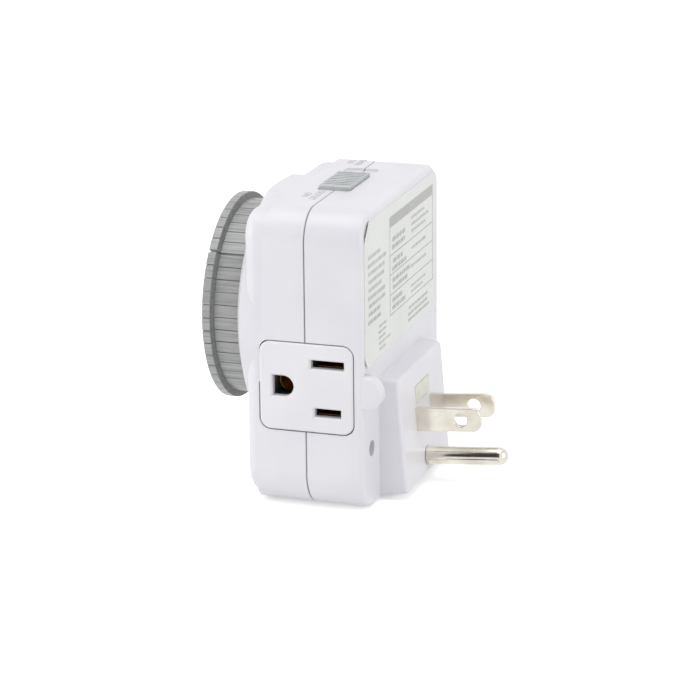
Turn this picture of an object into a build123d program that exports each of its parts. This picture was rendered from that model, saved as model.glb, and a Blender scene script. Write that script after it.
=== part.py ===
from build123d import *
import math
import os

# Plug-in mechanical timer. Millimetres, +Z up, -Y towards the dial, +Y towards the wall.
# The origin is on the flat base, on the seam between the shells, in the middle of the width.

# Case
case_width = 65.7
case_height = 78.4
rear_depth = 15.3
top_corner = 8.2
bottom_corner = 9.8
wall = 2.0
seam_bevel = 0.3
back_edge_radius = 1.4
lip_height = 1.2
lip_gap = 0.1

# Front of the case: a flat side that ends at a leaning step, then a lower platform and the round bezel
step_depth_top = 10.2
step_depth_bottom = 14.2
platform_depth = 16.8
platform_inset = 1.1
platform_radius = 3.4
bezel_depth = 19.9
bezel_inset = 0.45
bezel_shoulder_depth = 17.7
bezel_rim = 1.0
bezel_draft = 0.5
bezel_edge = 0.6
recess_floor_depth = 15.2
floor_thickness = 1.8

# Dial
dial_drop = 31.95
dial_margin = 6.9
dial_clearance = 1.1
hub_radius = 7.0
hub_step = 1.0
running_gap = 0.05
tripper_count = 48
single_trippers = 12
tripper_phase = 5.55
tripper_travel = 3.0
tripper_gap = 0.14
strip_thickness = 0.8
strip_front_depth = 27.0
strip_back_depth = 18.6
lip_reach = 1.63
lip_slope = 0.95
lip_front_depth = 29.8
lip_bevel = 0.3
tongue_width = 1.3
tongue_height = 1.2
tongue_length = 2.8
slide_gap = 0.1
rim_thickness = 2.1
rim_rise = 2.2
web_front_depth = 26.4
web_thickness = 1.6
hub_wall = 2.0
face_thickness = 0.5
face_gap = 0.4
cap_radius = 11.6
cap_rise = 2.4
cap_edge = 0.8
cap_stem_radius = 2.9

# Gear train. The tooth sizes are in modules, from the pitch circle.
ring_teeth = 60
ring_margin = 3.6
ring_wall = 1.2
ring_back_gap = 0.5
pinion_teeth = 10
wheel_teeth = 36
wheel_module = 0.5
motor_teeth = 9
tooth_rise = 0.8
tooth_depth = 1.1
tooth_tip_half = 0.36
tooth_root_half = 1.02
space_root_half = 0.52
space_tip_half = 1.24
tooth_overlap = 0.2
wheel_angle = 48.0
motor_angle = 210.0
wheel_thickness = 1.4
wheel_gap = 0.5
axle_radius = 1.2
clutch_hub_radius = 3.2
washer_thickness = 0.4
washer_rim = 2.4

# Movement plate and motor
plate_front = -9.6
plate_thickness = 1.6
motor_radius = 15.0
motor_depth = 12.2
motor_edge = 1.0
motor_plate = 0.8
shaft_radius = 1.0
shaft_depth = 2.0
shaft_offset_x = 2.033
shaft_offset_z = 2.67
motor_ear_reach = 17.3
motor_ear_angle = 135.0
ear_radius = 3.0
left_post_shift = 6.0
post_reach = 13.5
lower_post_drop = 12.0
upper_post_rise = 14.5
lead_radius = 0.6
lead_drop = 3.5
screw_radius = 1.25
screw_head_radius = 2.0
screw_head_height = 1.6
screw_head_edge = 0.5
flat_head_height = 1.0
thread_length = 3.0
fit_gap = 0.02

# Receptacles
outlet_width = 24.9
outlet_height = 23.2
outlet_corner = 2.8
outlet_y = 0.25
outlet_z = 32.9
outlet_proud = 0.45
outlet_plate = 2.4
outlet_gap = 0.3
outlet_bevel = 0.5
flange_reach = 1.6
flange_thickness = 1.3
cell_wall = 1.2
slot_spacing = 12.7
slot_y = 5.9
slot_width = 2.2
neutral_slot = 8.8
hot_slot = 7.0
ground_y = -5.9
ground_hole_height = 5.4
ground_hole_flat = 2.9

# Plug
plug_y = 21.34
plug_z = 18.37
plug_tilt = 4.46
block_half_width = 19.4
block_top = 33.2
block_face_half_width = 19.2
block_face_top = 13.95
block_face_bottom = 16.5
block_corner = 1.6
block_edge = 0.9
block_pocket_depth = 17.2
blade_spacing = 12.7
blade_thickness = 1.5
blade_height = 6.3
blade_length = 17.3
blade_hole = 3.6
blade_hole_reach = 11.9
blade_tip_radius = 2.1
blade_tip_bevel = 0.4
ground_drop = 11.9
ground_pin_diameter = 4.78
ground_pin_length = 21.9
pin_neck = 0.15
pin_recess_depth = 0.3
pin_root_radius = 1.9
socket_clearance = 0.04
socket_length = 6.6

# Half-round ear of the rear corner, and the case screws
corner_ear_radius = 4.5
corner_ear_thickness = 3.0
corner_ear_edge = 1.1
corner_ear_inset = 0.25
corner_ear_y = 15.6
corner_ear_drop = 0.4
lower_screw_inset = 6.95
lower_screw_z = 16.1
upper_screw_inset = 7.85
upper_screw_drop = 7.9
boss_radius = 3.4
well_radius = 2.15
well_depth = 10.0

# Brass strips
sheet = 0.8
strip_width = 5.0
tab_width = 3.0
narrow_strip = 4.0
line_bend_rise = 8.0
strip_post_radius = 1.6
clip_inset = 0.4
clip_width = 6.4
clip_gap = 1.6
clip_length = 9.6
clip_leaf = 0.5
line_y = 9.4
load_y = 11.2
neutral_y = 13.0
ground_front_y = -8.2

# Switches
lever_rise = 11.05
lever_y = -11.2
lever_x = -15.0
lever_width = 6.0
lever_thickness = 1.6
lever_length = 10.5
pivot_radius = 0.8
lug_thickness = 1.4
nose_reach = 9.05
nose_width = 1.8
nose_height = 1.4
nose_tip = -16.3
pusher_arm = 5.5
pusher_reach = 1.0
button_radius = 1.2
button_gap = 0.02
button_length = 3.4
micro_width = 13.4
micro_height = 16.0
micro_depth = 11.0
micro_corner = 0.8
micro_shift = 3.5
micro_rise = 1.0
peg_radius = 1.2
peg_inset = 2.5
peg_end = 0.6
tab_shift = 1.0
common_drop = 6.0
contact_rise = 4.0
slider_length = 16.9
slider_width = 8.3
slider_x = -0.85
slider_y = -0.25
slider_travel = 6.4
slider_proud = 1.0
slider_end_slope = 1.0
slider_shoulder = 0.5
slider_rib_pitch = 1.8
slider_rib_depth = 0.45
scoop_depth = 0.6
scoop_gap = 1.1
stem_length = 3.2
stem_width = 3.0
bypass_height = 2.0
bypass_drop = 6.6
bypass_pitch = 5.0
bypass_tab_shift = 0.3

# Label sheets
label_side_inset = 1.65
label_rise = 5.4
label_drop = 2.4
label_corner = 1.0
label_thickness = 0.15
sticker_width = 12.0
sticker_height = 4.4
sticker_rise = 6.3
sticker_gap = 0.1

# Derived sizes
half_width = case_width / 2
dial_z = case_height - dial_drop
hub_depth = web_front_depth - hub_step
rim_front_depth = web_front_depth + rim_rise
cap_front_depth = web_front_depth + cap_rise
bezel_radius = half_width - bezel_inset
strip_radius = bezel_radius - dial_margin
lip_radius = strip_radius + lip_reach
floor_back = recess_floor_depth - floor_thickness
recess_radius = strip_radius + dial_clearance
rim_radius = strip_radius - strip_thickness - slide_gap
plate_back = plate_front + plate_thickness
ring_module = 2 * (rim_radius - ring_margin) / ring_teeth
ring_pitch = ring_teeth * ring_module / 2
wheel_reach = (ring_teeth - pinion_teeth) * ring_module / 2
wheel_x = wheel_reach * math.cos(math.radians(wheel_angle))
wheel_z = dial_z + wheel_reach * math.sin(math.radians(wheel_angle))
motor_reach = (wheel_teeth + motor_teeth) * wheel_module / 2
shaft_x = wheel_x + motor_reach * math.cos(math.radians(motor_angle))
shaft_z = wheel_z + motor_reach * math.sin(math.radians(motor_angle))
motor_x = shaft_x + shaft_offset_x
motor_z = shaft_z + shaft_offset_z
motor_front = plate_back + motor_plate
motor_back = motor_front + motor_depth
wheel_front = -floor_back + wheel_gap
wheel_back = wheel_front + wheel_thickness
outlet_face_x = half_width + outlet_proud
clip_web_x = outlet_face_x - outlet_plate - clip_length - sheet - clip_inset
cell_back_x = clip_web_x + sheet + slide_gap
upper_slot_z = outlet_z + slot_spacing / 2
lower_slot_z = outlet_z - slot_spacing / 2
lever_z = dial_z + lever_rise
nose_z = lever_z + nose_reach
pusher_z = lever_z + pusher_arm
micro_x = lever_x - micro_shift
micro_z = lever_z + micro_rise
tab_x = micro_x + tab_shift
line_tab_z = micro_z - common_drop
load_tab_z = micro_z + contact_rise
line_bend_z = outlet_z + line_bend_rise
slider_top = case_height + slider_proud
bypass_base_z = case_height - bypass_drop
bypass_line_x = slider_x - stem_length - bypass_tab_shift
bypass_load_x = bypass_line_x - bypass_pitch
plug_axis = Vector(0, math.cos(math.radians(plug_tilt)), math.sin(math.radians(plug_tilt)))
plug_plane = Plane(origin=(0, plug_y, plug_z), x_dir=(-1, 0, 0), z_dir=plug_axis)
dial_axis = Axis((0, 0, dial_z), (0, -1, 0))
outlet_turn = Axis((0, 0, outlet_z), (0, 1, 0))

os.makedirs("parts", exist_ok=True)


def front_plane(y):
    # Looks to the front, with X to the right and Z up
    return Plane(origin=(0, y, 0), x_dir=(1, 0, 0), z_dir=(0, -1, 0))


def side_plane(x):
    # Looks to the right, with Y across and Z up
    return Plane(origin=(x, 0, 0), x_dir=(0, 1, 0), z_dir=(1, 0, 0))


def top_plane(z):
    return Plane.XY.offset(z)


def save(builder, name):
    builder.part.label = name
    export_step(builder.part, f"parts/{name}.step")


def case_section(side_inset, end_inset):
    # The rounded outline of the case seen from the front, drawn smaller by the two insets
    with Locations((0, case_height / 2)):
        Rectangle(case_width - 2 * side_inset, case_height - 2 * end_inset)
    fillet(vertices().group_by(Axis.Y)[-1], top_corner - end_inset)
    fillet(vertices().group_by(Axis.Y)[0], bottom_corner - end_inset)


def screw_places():
    return [
        (half_width - lower_screw_inset, lower_screw_z),
        (lower_screw_inset - half_width, lower_screw_z),
        (half_width - upper_screw_inset, case_height - upper_screw_drop),
        (upper_screw_inset - half_width, case_height - upper_screw_drop),
    ]


def plate_screw_places():
    return [
        (micro_x - left_post_shift, outlet_z + outlet_height / 2 + ear_radius),
        (motor_x - post_reach, motor_z - lower_post_drop),
        (motor_x + post_reach, motor_z + upper_post_rise),
    ]


def motor_screw_places():
    turn = math.radians(motor_ear_angle)
    reach_x = motor_ear_reach * math.cos(turn)
    reach_z = motor_ear_reach * math.sin(turn)
    return [(motor_x + reach_x, motor_z + reach_z), (motor_x - reach_x, motor_z - reach_z)]


def microswitch_pegs():
    peg_x = micro_x - micro_width / 2 + peg_inset
    peg_rise = micro_height / 2 - peg_inset
    return [(peg_x, micro_z - peg_rise), (peg_x, micro_z + peg_rise)]


def cut_outlet_windows():
    # A rounded opening on each side for the receptacle faces, through both shells at the seam
    for side in (1, -1):
        with BuildSketch(side_plane(side * (half_width + wall))) as window:
            with Locations((outlet_y, outlet_z)):
                RectangleRounded(
                    outlet_width + 2 * outlet_gap,
                    outlet_height + 2 * outlet_gap,
                    outlet_corner + outlet_gap,
                )
        extrude(window.sketch, amount=-side * (2 * wall + platform_inset), mode=Mode.SUBTRACT)


def cut_slider_window():
    # A shallow scoop in the top that the switch button runs in, and the slot of its stem
    scoop_length = slider_length + slider_travel + 2 * scoop_gap
    scoop_x = slider_x - slider_travel / 2
    with BuildSketch(top_plane(case_height)) as scoop:
        with Locations((scoop_x, slider_y)):
            RectangleRounded(scoop_length, slider_width + 2 * outlet_gap, scoop_gap)
    extrude(scoop.sketch, amount=-scoop_depth, mode=Mode.SUBTRACT)
    with BuildSketch(top_plane(case_height)) as stem_slot:
        with Locations((scoop_x, slider_y)):
            Rectangle(slider_travel + stem_length + 4 * slide_gap, stem_width + 2 * slide_gap)
    extrude(stem_slot.sketch, amount=-2 * wall, mode=Mode.SUBTRACT)


def gear_teeth(teeth, module, start):
    # Trapezoid teeth with some backlash, standing on the root circle
    root = module * (teeth / 2 - tooth_depth)
    tip = module * (teeth / 2 + tooth_rise)
    Circle(root)
    with PolarLocations(0, teeth, start):
        Polygon(
            (root - tooth_overlap, -tooth_root_half * module),
            (tip, -tooth_tip_half * module),
            (tip, tooth_tip_half * module),
            (root - tooth_overlap, tooth_root_half * module),
            align=None,
        )


def cut_ring_teeth(start):
    # The spaces between the inward teeth of the ring gear
    tip = ring_module * (ring_teeth / 2 - tooth_rise)
    root = ring_module * (ring_teeth / 2 + tooth_depth)
    Circle(tip, mode=Mode.SUBTRACT)
    with PolarLocations(0, ring_teeth, start):
        Polygon(
            (tip - tooth_overlap, -space_tip_half * ring_module),
            (root, -space_root_half * ring_module),
            (root, space_root_half * ring_module),
            (tip - tooth_overlap, space_tip_half * ring_module),
            align=None,
            mode=Mode.SUBTRACT,
        )


# Round bezel: a short drum around the dial with a steep rounded shoulder
bezel_front_radius = recess_radius + bezel_rim
with BuildPart() as bezel:
    with BuildSketch(front_plane(0)):
        case_section(bezel_inset, platform_inset)
    extrude(amount=bezel_depth)
    with BuildSketch(Plane.YZ):
        with BuildLine():
            Polyline(
                (0, dial_z),
                (0, dial_z + bezel_radius + bezel_draft),
                (-bezel_shoulder_depth, dial_z + bezel_radius),
                (-bezel_depth, dial_z + bezel_front_radius),
                (-bezel_depth, dial_z),
                close=True,
            )
        make_face()
    revolve(axis=dial_axis, mode=Mode.INTERSECT)
    fillet(edges().filter_by(GeomType.CIRCLE).group_by(Axis.Y)[0], bezel_edge)

# Front shell
with BuildPart() as front_shell:
    with BuildSketch(front_plane(0)):
        case_section(0, 0)
    extrude(amount=step_depth_bottom)
    lean = math.degrees(math.atan2(step_depth_bottom - step_depth_top, case_height))
    step_plane = Plane(origin=(0, -step_depth_bottom, 0), z_dir=(0, -1, 0)).rotated((-lean, 0, 0))
    split(bisect_by=step_plane, keep=Keep.BOTTOM)
    chamfer(faces().sort_by(Axis.Y)[-1].edges(), seam_bevel)
    with BuildSketch(front_plane(-step_depth_top / 2)):
        case_section(platform_inset, platform_inset)
    extrude(amount=platform_depth - step_depth_top / 2)
    fillet(faces().sort_by(Axis.Y)[0].edges(), platform_radius)
    add(bezel.part)
    # Hollow inside, with a floor behind the dial
    with BuildSketch(front_plane(0)):
        case_section(wall, wall)
    extrude(amount=step_depth_top - wall / 2, mode=Mode.SUBTRACT)
    with BuildSketch(front_plane(0)):
        case_section(wall + platform_inset, wall + platform_inset)
    extrude(amount=floor_back, mode=Mode.SUBTRACT)
    # Recess of the dial, and the post that it turns on
    with BuildSketch(front_plane(-recess_floor_depth)):
        with Locations((0, dial_z)):
            Circle(recess_radius)
    extrude(amount=bezel_depth, mode=Mode.SUBTRACT)
    with BuildSketch(front_plane(-floor_back)):
        with Locations((0, dial_z)):
            Circle(hub_radius)
    extrude(amount=hub_depth - floor_back)
    with BuildSketch(front_plane(-recess_floor_depth - wall)):
        with Locations((0, dial_z)):
            Circle(cap_stem_radius + running_gap)
    extrude(amount=hub_depth, mode=Mode.SUBTRACT)
    with BuildSketch(front_plane(-floor_back)):
        with Locations((0, dial_z)):
            Circle(screw_head_radius + slide_gap)
    extrude(amount=floor_thickness, mode=Mode.SUBTRACT)
    with BuildSketch(front_plane(-floor_back)):
        with Locations((0, dial_z)):
            Circle(screw_radius + slide_gap)
    extrude(amount=hub_depth, mode=Mode.SUBTRACT)
    # Openings in the floor for the clutch pinion and the nose of the trip lever
    with BuildSketch(front_plane(-floor_back)):
        with Locations((wheel_x, wheel_z)):
            Circle(ring_module * (pinion_teeth / 2 + tooth_rise) + 2 * slide_gap)
        with Locations((lever_x, nose_z + nose_height / 4)):
            Rectangle(nose_width + 6 * slide_gap, 3 * nose_height)
    extrude(amount=floor_thickness, mode=Mode.SUBTRACT)
    # Posts for the case screws and for the movement plate
    with BuildSketch(front_plane(-floor_back)):
        with Locations(*screw_places()):
            Circle(boss_radius - 2 * slide_gap)
    extrude(amount=-floor_back)
    with BuildSketch(front_plane(0)):
        with Locations(*screw_places()):
            Circle(screw_radius + fit_gap)
    extrude(amount=floor_back - wall, mode=Mode.SUBTRACT)
    # Ears that hold the pivot pin of the trip lever
    lug_x = lever_width / 2 + slide_gap + lug_thickness / 2
    for side in (1, -1):
        with BuildSketch(side_plane(lever_x + side * lug_x - lug_thickness / 2)):
            with Locations(((lever_y - floor_back) / 2, lever_z)):
                Rectangle(lever_y + floor_back, 4 * pivot_radius)
            with Locations((lever_y, lever_z)):
                Circle(2 * pivot_radius)
        extrude(amount=lug_thickness)
    with BuildSketch(side_plane(lever_x)):
        with Locations((lever_y, lever_z)):
            Circle(pivot_radius + fit_gap)
    extrude(amount=2 * lug_x, both=True, mode=Mode.SUBTRACT)
    # Posts of the movement plate
    with BuildSketch(front_plane(-floor_back)):
        with Locations(*plate_screw_places()):
            Circle(screw_head_radius + 4 * slide_gap)
    extrude(amount=-(floor_back + plate_front))
    with BuildSketch(front_plane(plate_front)):
        with Locations(*plate_screw_places()):
            Circle(screw_radius + fit_gap)
    extrude(amount=floor_back + plate_front, mode=Mode.SUBTRACT)
    # Tongue along the seam
    with BuildSketch(front_plane(0)):
        case_section(wall / 2 + lip_gap, wall / 2 + lip_gap)
    extrude(amount=-lip_height)
    with BuildSketch(front_plane(0)):
        case_section(wall, wall)
    extrude(amount=-lip_height, mode=Mode.SUBTRACT)
    cut_outlet_windows()
    cut_slider_window()
save(front_shell, "front_shell")

# Half-round ear with a rounded rim, that stands on the back behind the right receptacle
with BuildPart() as corner_ear:
    with BuildSketch(side_plane(half_width - corner_ear_inset)):
        with Locations((corner_ear_y, outlet_z - corner_ear_drop)):
            Circle(corner_ear_radius)
    extrude(amount=-corner_ear_thickness)
    fillet(edges().filter_by(GeomType.CIRCLE).sort_by(Axis.X)[-1], corner_ear_edge)

# Rear shell with the plug block
with BuildPart() as rear_shell:
    with BuildSketch(front_plane(0)):
        case_section(0, 0)
    extrude(amount=-rear_depth)
    fillet(faces().sort_by(Axis.Y)[-1].edges(), back_edge_radius)
    chamfer(faces().sort_by(Axis.Y)[0].edges(), seam_bevel)
    # Block: drafted on all sides, with a leaning face that the prongs stand on
    block_root = rear_depth - wall
    with BuildSketch(front_plane(block_root)):
        with Locations((0, block_top / 2)):
            RectangleRounded(2 * block_half_width, block_top, block_corner)
    with BuildSketch(plug_plane):
        with Locations((0, (block_face_top - block_face_bottom) / 2)):
            RectangleRounded(2 * block_face_half_width, block_face_top + block_face_bottom, block_corner)
    loft()
    fillet(faces().sort_by(Axis.Y)[-1].edges(), block_edge)
    add(corner_ear.part)
    # Hollow inside, and a pocket in the block
    with BuildSketch(front_plane(0)):
        case_section(wall, wall)
    extrude(amount=-block_root, mode=Mode.SUBTRACT)
    with BuildSketch(front_plane(block_root)):
        with Locations((0, block_top / 2)):
            Rectangle(2 * block_face_half_width - 2 * wall, block_top - 3 * wall)
    extrude(amount=block_root - block_pocket_depth, mode=Mode.SUBTRACT)
    # Rebate for the tongue of the front shell
    with BuildSketch(front_plane(0)):
        case_section(wall / 2, wall / 2)
    extrude(amount=-lip_height - lip_gap, mode=Mode.SUBTRACT)
    # Screw bosses with deep wells in the back
    with BuildSketch(front_plane(0)):
        with Locations(*screw_places()):
            Circle(boss_radius)
    extrude(amount=-block_root)
    with BuildSketch(front_plane(rear_depth)):
        with Locations(*screw_places()):
            Circle(well_radius)
    extrude(amount=well_depth, mode=Mode.SUBTRACT)
    with BuildSketch(front_plane(rear_depth)):
        with Locations(*screw_places()):
            Circle(screw_radius + 2 * slide_gap)
    extrude(amount=rear_depth, mode=Mode.SUBTRACT)
    # Posts that the flat strips lie on
    for post_x, post_z, strip_back in (
        (blade_spacing / 2, line_bend_z, line_y),
        (bypass_line_x, pusher_z, line_y),
        (tab_x, lever_z, load_y),
    ):
        with BuildSketch(front_plane(strip_back)):
            with Locations((post_x, post_z)):
                Circle(strip_post_radius)
        extrude(amount=strip_back - block_root)
    # Passages of the prongs
    with BuildSketch(plug_plane):
        with Locations((blade_spacing / 2, 0), (-blade_spacing / 2, 0)):
            Rectangle(blade_thickness + 2 * fit_gap, blade_height + 2 * fit_gap)
        with Locations((0, -ground_drop)):
            Circle(pin_root_radius + fit_gap)
    extrude(amount=plug_y - block_root + wall, both=True, mode=Mode.SUBTRACT)
    # Ring-shaped recess where the ground pin leaves the block
    with BuildSketch(plug_plane):
        with Locations((0, -ground_drop)):
            Circle(ground_pin_diameter / 2 + slide_gap)
    extrude(amount=-pin_recess_depth, mode=Mode.SUBTRACT)
    # Shallow recess of the sticker
    with BuildSketch(plug_plane):
        with Locations((0, sticker_rise)):
            Rectangle(sticker_width + 2 * sticker_gap, sticker_height + 2 * sticker_gap)
    extrude(amount=-label_thickness, mode=Mode.SUBTRACT)
    cut_outlet_windows()
    cut_slider_window()
save(rear_shell, "rear_shell")

# Receptacle face: a plate in the side window, a flange behind the wall, and cells around the contacts
with BuildPart() as right_outlet_face:
    with BuildSketch(side_plane(outlet_face_x)):
        with Locations((outlet_y, outlet_z)):
            RectangleRounded(outlet_width, outlet_height, outlet_corner)
    extrude(amount=-outlet_plate - cell_wall)
    chamfer(faces().sort_by(Axis.X)[-1].edges(), outlet_proud)
    flange_face = half_width - wall - slide_gap
    flange_width = 2 * (step_depth_top - wall / 2 - slide_gap + outlet_y)
    with BuildSketch(side_plane(flange_face)):
        with Locations((outlet_y, outlet_z)):
            Rectangle(flange_width, outlet_height + 2 * flange_reach)
    extrude(amount=-flange_thickness)
    with BuildSketch(side_plane(flange_face)):
        with Locations((outlet_y, outlet_z)):
            Rectangle(outlet_width - 2 * cell_wall, outlet_height - 2 * cell_wall)
    extrude(amount=-(flange_face - cell_back_x))
    cell_front = outlet_face_x - outlet_plate
    with BuildSketch(side_plane(cell_front)):
        for row in (upper_slot_z, lower_slot_z):
            with Locations((slot_y, row)):
                Rectangle(clip_width + 2 * cell_wall, clip_gap + 2 * clip_leaf + cell_wall)
        with Locations((ground_y, outlet_z)):
            Rectangle(ground_hole_height + cell_wall, ground_hole_height + cell_wall)
    extrude(amount=-clip_length - wall, mode=Mode.SUBTRACT)
    with BuildSketch(side_plane(outlet_face_x)):
        with Locations((slot_y, upper_slot_z)):
            Rectangle(neutral_slot, slot_width)
        with Locations((slot_y, lower_slot_z)):
            Rectangle(hot_slot, slot_width)
        with Locations((ground_y, outlet_z)):
            Circle(ground_hole_height / 2)
        with Locations((ground_y - ground_hole_flat / 2, outlet_z)):
            Rectangle(ground_hole_flat, ground_hole_height)
    extrude(amount=-outlet_plate, mode=Mode.SUBTRACT)
    front_face = faces().filter_by(Axis.X).sort_by(Axis.X)[-1]
    chamfer(front_face.inner_wires().edges(), outlet_bevel)
save(right_outlet_face, "right_outlet_face")

with BuildPart() as left_outlet_face:
    add(right_outlet_face.part.rotate(outlet_turn, 180))
save(left_outlet_face, "left_outlet_face")

# Prongs
blade_root = Plane(origin=(0, neutral_y, 0), x_dir=(1, 0, 0), z_dir=(0, 1, 0))
hot_blade_root = Plane(origin=(0, line_y, 0), x_dir=(1, 0, 0), z_dir=(0, 1, 0))


def make_blade(x, root_plane):
    with BuildPart() as blade:
        with BuildSketch(plug_plane):
            with Locations((-x, 0)):
                Rectangle(blade_thickness, blade_height)
        extrude(amount=blade_length)
        tip = faces().sort_by(Axis.Y)[-1]
        fillet(tip.edges().filter_by(Axis.X), blade_tip_radius)
        tip = faces().sort_by(Axis.Y)[-1]
        chamfer(tip.edges().filter_by(Axis.X, reverse=True), blade_tip_bevel)
        with BuildSketch(plug_plane):
            with Locations((-x, 0)):
                Rectangle(blade_thickness, blade_height)
        extrude(amount=-plug_y)
        split(bisect_by=root_plane, keep=Keep.TOP)
        hole_centre = plug_plane.from_local_coords(Vector(0, 0, blade_hole_reach))
        with BuildSketch(side_plane(x)):
            with Locations((hole_centre.Y, hole_centre.Z)):
                Circle(blade_hole / 2)
        extrude(amount=blade_thickness, both=True, mode=Mode.SUBTRACT)
    return blade


hot_blade = make_blade(blade_spacing / 2, hot_blade_root)
neutral_blade = make_blade(-blade_spacing / 2, blade_root)
save(hot_blade, "hot_blade")
save(neutral_blade, "neutral_blade")

with BuildPart() as ground_pin:
    with BuildSketch(plug_plane):
        with Locations((0, -ground_drop)):
            Circle(ground_pin_diameter / 2)
    extrude(amount=ground_pin_length)
    fillet(faces().sort_by(Axis.Y)[-1].edges(), ground_pin_diameter / 2 - fit_gap)
    # Narrow neck where the pin leaves the block, and the shank inside
    with BuildSketch(plug_plane):
        with Locations((0, -ground_drop)):
            Circle(ground_pin_diameter / 2)
            Circle(pin_root_radius, mode=Mode.SUBTRACT)
    extrude(amount=pin_neck, mode=Mode.SUBTRACT)
    with BuildSketch(plug_plane):
        with Locations((0, -ground_drop)):
            Circle(pin_root_radius)
    extrude(amount=-plug_y)
    split(bisect_by=blade_root, keep=Keep.TOP)
save(ground_pin, "ground_pin")

# Brass strips. The left receptacle is the right one turned half a turn, so each bus runs on a slant.
clip_leaf_x = clip_web_x + sheet + clip_length / 2


def slanted_strip(right_z, left_z, back_y, branch):
    # A flat strip between the two webs, with one more branch, seen from the front
    with BuildSketch(front_plane(back_y)) as strip:
        with BuildLine() as route:
            Polyline(
                (clip_web_x + sheet, right_z),
                (clip_web_x - strip_width, right_z),
                (strip_width - clip_web_x, left_z),
                (-clip_web_x - sheet, left_z),
            )
        trace(route.edges(), line_width=strip_width)
        with BuildLine() as branch_route:
            Polyline(*branch)
        trace(branch_route.edges(), line_width=narrow_strip)
    extrude(strip.sketch, amount=sheet)


def add_clip(side, row_z, back_y):
    # A web that comes forward from the strip, and two leaves that grip a blade
    with BuildSketch(side_plane(side * clip_web_x)) as web:
        with Locations(((back_y + slot_y - clip_width / 2) / 2, row_z)):
            Rectangle(back_y - slot_y + clip_width / 2, clip_gap + 2 * clip_leaf)
    extrude(web.sketch, amount=side * sheet)
    with BuildSketch(front_plane(slot_y + clip_width / 2)) as leaves:
        for edge in (1, -1):
            with Locations((side * clip_leaf_x, row_z + edge * (clip_gap + clip_leaf) / 2)):
                Rectangle(clip_length, clip_leaf)
    extrude(leaves.sketch, amount=clip_width)


neutral_tail = [(-blade_spacing / 2, outlet_z), (-blade_spacing / 2, plug_z - blade_height / 2)]
with BuildPart() as neutral_bus:
    slanted_strip(upper_slot_z, lower_slot_z, neutral_y, neutral_tail)
    add_clip(1, upper_slot_z, neutral_y)
    add_clip(-1, lower_slot_z, neutral_y)
save(neutral_bus, "neutral_bus")

load_riser = [
    (tab_x, upper_slot_z),
    (tab_x, bypass_base_z - narrow_strip),
    (bypass_load_x, bypass_base_z + bypass_height),
]
with BuildPart() as load_bus:
    slanted_strip(lower_slot_z, upper_slot_z, load_y, load_riser)
    add_clip(1, lower_slot_z, load_y)
    add_clip(-1, upper_slot_z, load_y)
save(load_bus, "load_bus")

with BuildPart() as line_strip:
    with BuildSketch(front_plane(line_y)):
        with BuildLine() as route:
            Polyline(
                (blade_spacing / 2, plug_z - blade_height / 2),
                (blade_spacing / 2, line_bend_z),
                (bypass_line_x, line_tab_z),
                (bypass_line_x, bypass_base_z + bypass_height),
            )
        trace(route.edges(), line_width=narrow_strip)
        with BuildLine() as branch_route:
            Line((bypass_line_x, line_tab_z), (tab_x - narrow_strip / 2, line_tab_z))
        trace(branch_route.edges(), line_width=narrow_strip)
    extrude(amount=sheet)
save(line_strip, "line_strip")

ground_tail = plug_plane.from_local_coords(Vector(0, -ground_drop, 0))
ground_tail_z = ground_tail.Z - (ground_tail.Y - neutral_y) * math.tan(math.radians(plug_tilt))
ground_floor_z = ground_tail_z - ground_pin_diameter / 2 - sheet / 2
with BuildPart() as ground_bus:
    with BuildSketch(Plane.YZ):
        with BuildLine() as route:
            Polyline(
                (neutral_y - sheet / 2, ground_tail_z + ground_pin_diameter / 2),
                (neutral_y - sheet / 2, ground_floor_z),
                (ground_front_y - sheet / 2, ground_floor_z),
                (ground_front_y - sheet / 2, outlet_z),
            )
        trace(route.edges(), line_width=sheet)
    extrude(amount=strip_width / 2, both=True)
    with BuildSketch(front_plane(ground_front_y)):
        with Locations((0, outlet_z)):
            Rectangle(2 * clip_web_x + 2 * sheet, strip_width)
    extrude(amount=sheet)
    for side in (1, -1):
        with BuildSketch(side_plane(side * clip_web_x)):
            with Locations((ground_y, outlet_z)):
                Circle(ground_pin_diameter / 2 + clip_leaf)
        extrude(amount=side * (socket_length + sheet))
        with BuildSketch(side_plane(side * (clip_web_x + sheet))):
            with Locations((ground_y, outlet_z)):
                Circle(ground_pin_diameter / 2 + socket_clearance)
        extrude(amount=side * socket_length, mode=Mode.SUBTRACT)
save(ground_bus, "ground_bus")

# Case screws
with BuildPart() as case_screws:
    with BuildSketch(front_plane(rear_depth - well_depth)):
        with Locations(*screw_places()):
            Circle(screw_head_radius)
    extrude(amount=-screw_head_height)
    fillet(edges().group_by(Axis.Y)[-1], screw_head_edge)
    with BuildSketch(front_plane(rear_depth - well_depth)):
        with Locations(*screw_places()):
            Circle(screw_radius)
    extrude(amount=rear_depth - well_depth + floor_back - 2 * wall)
save(case_screws, "case_screws")

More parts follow.
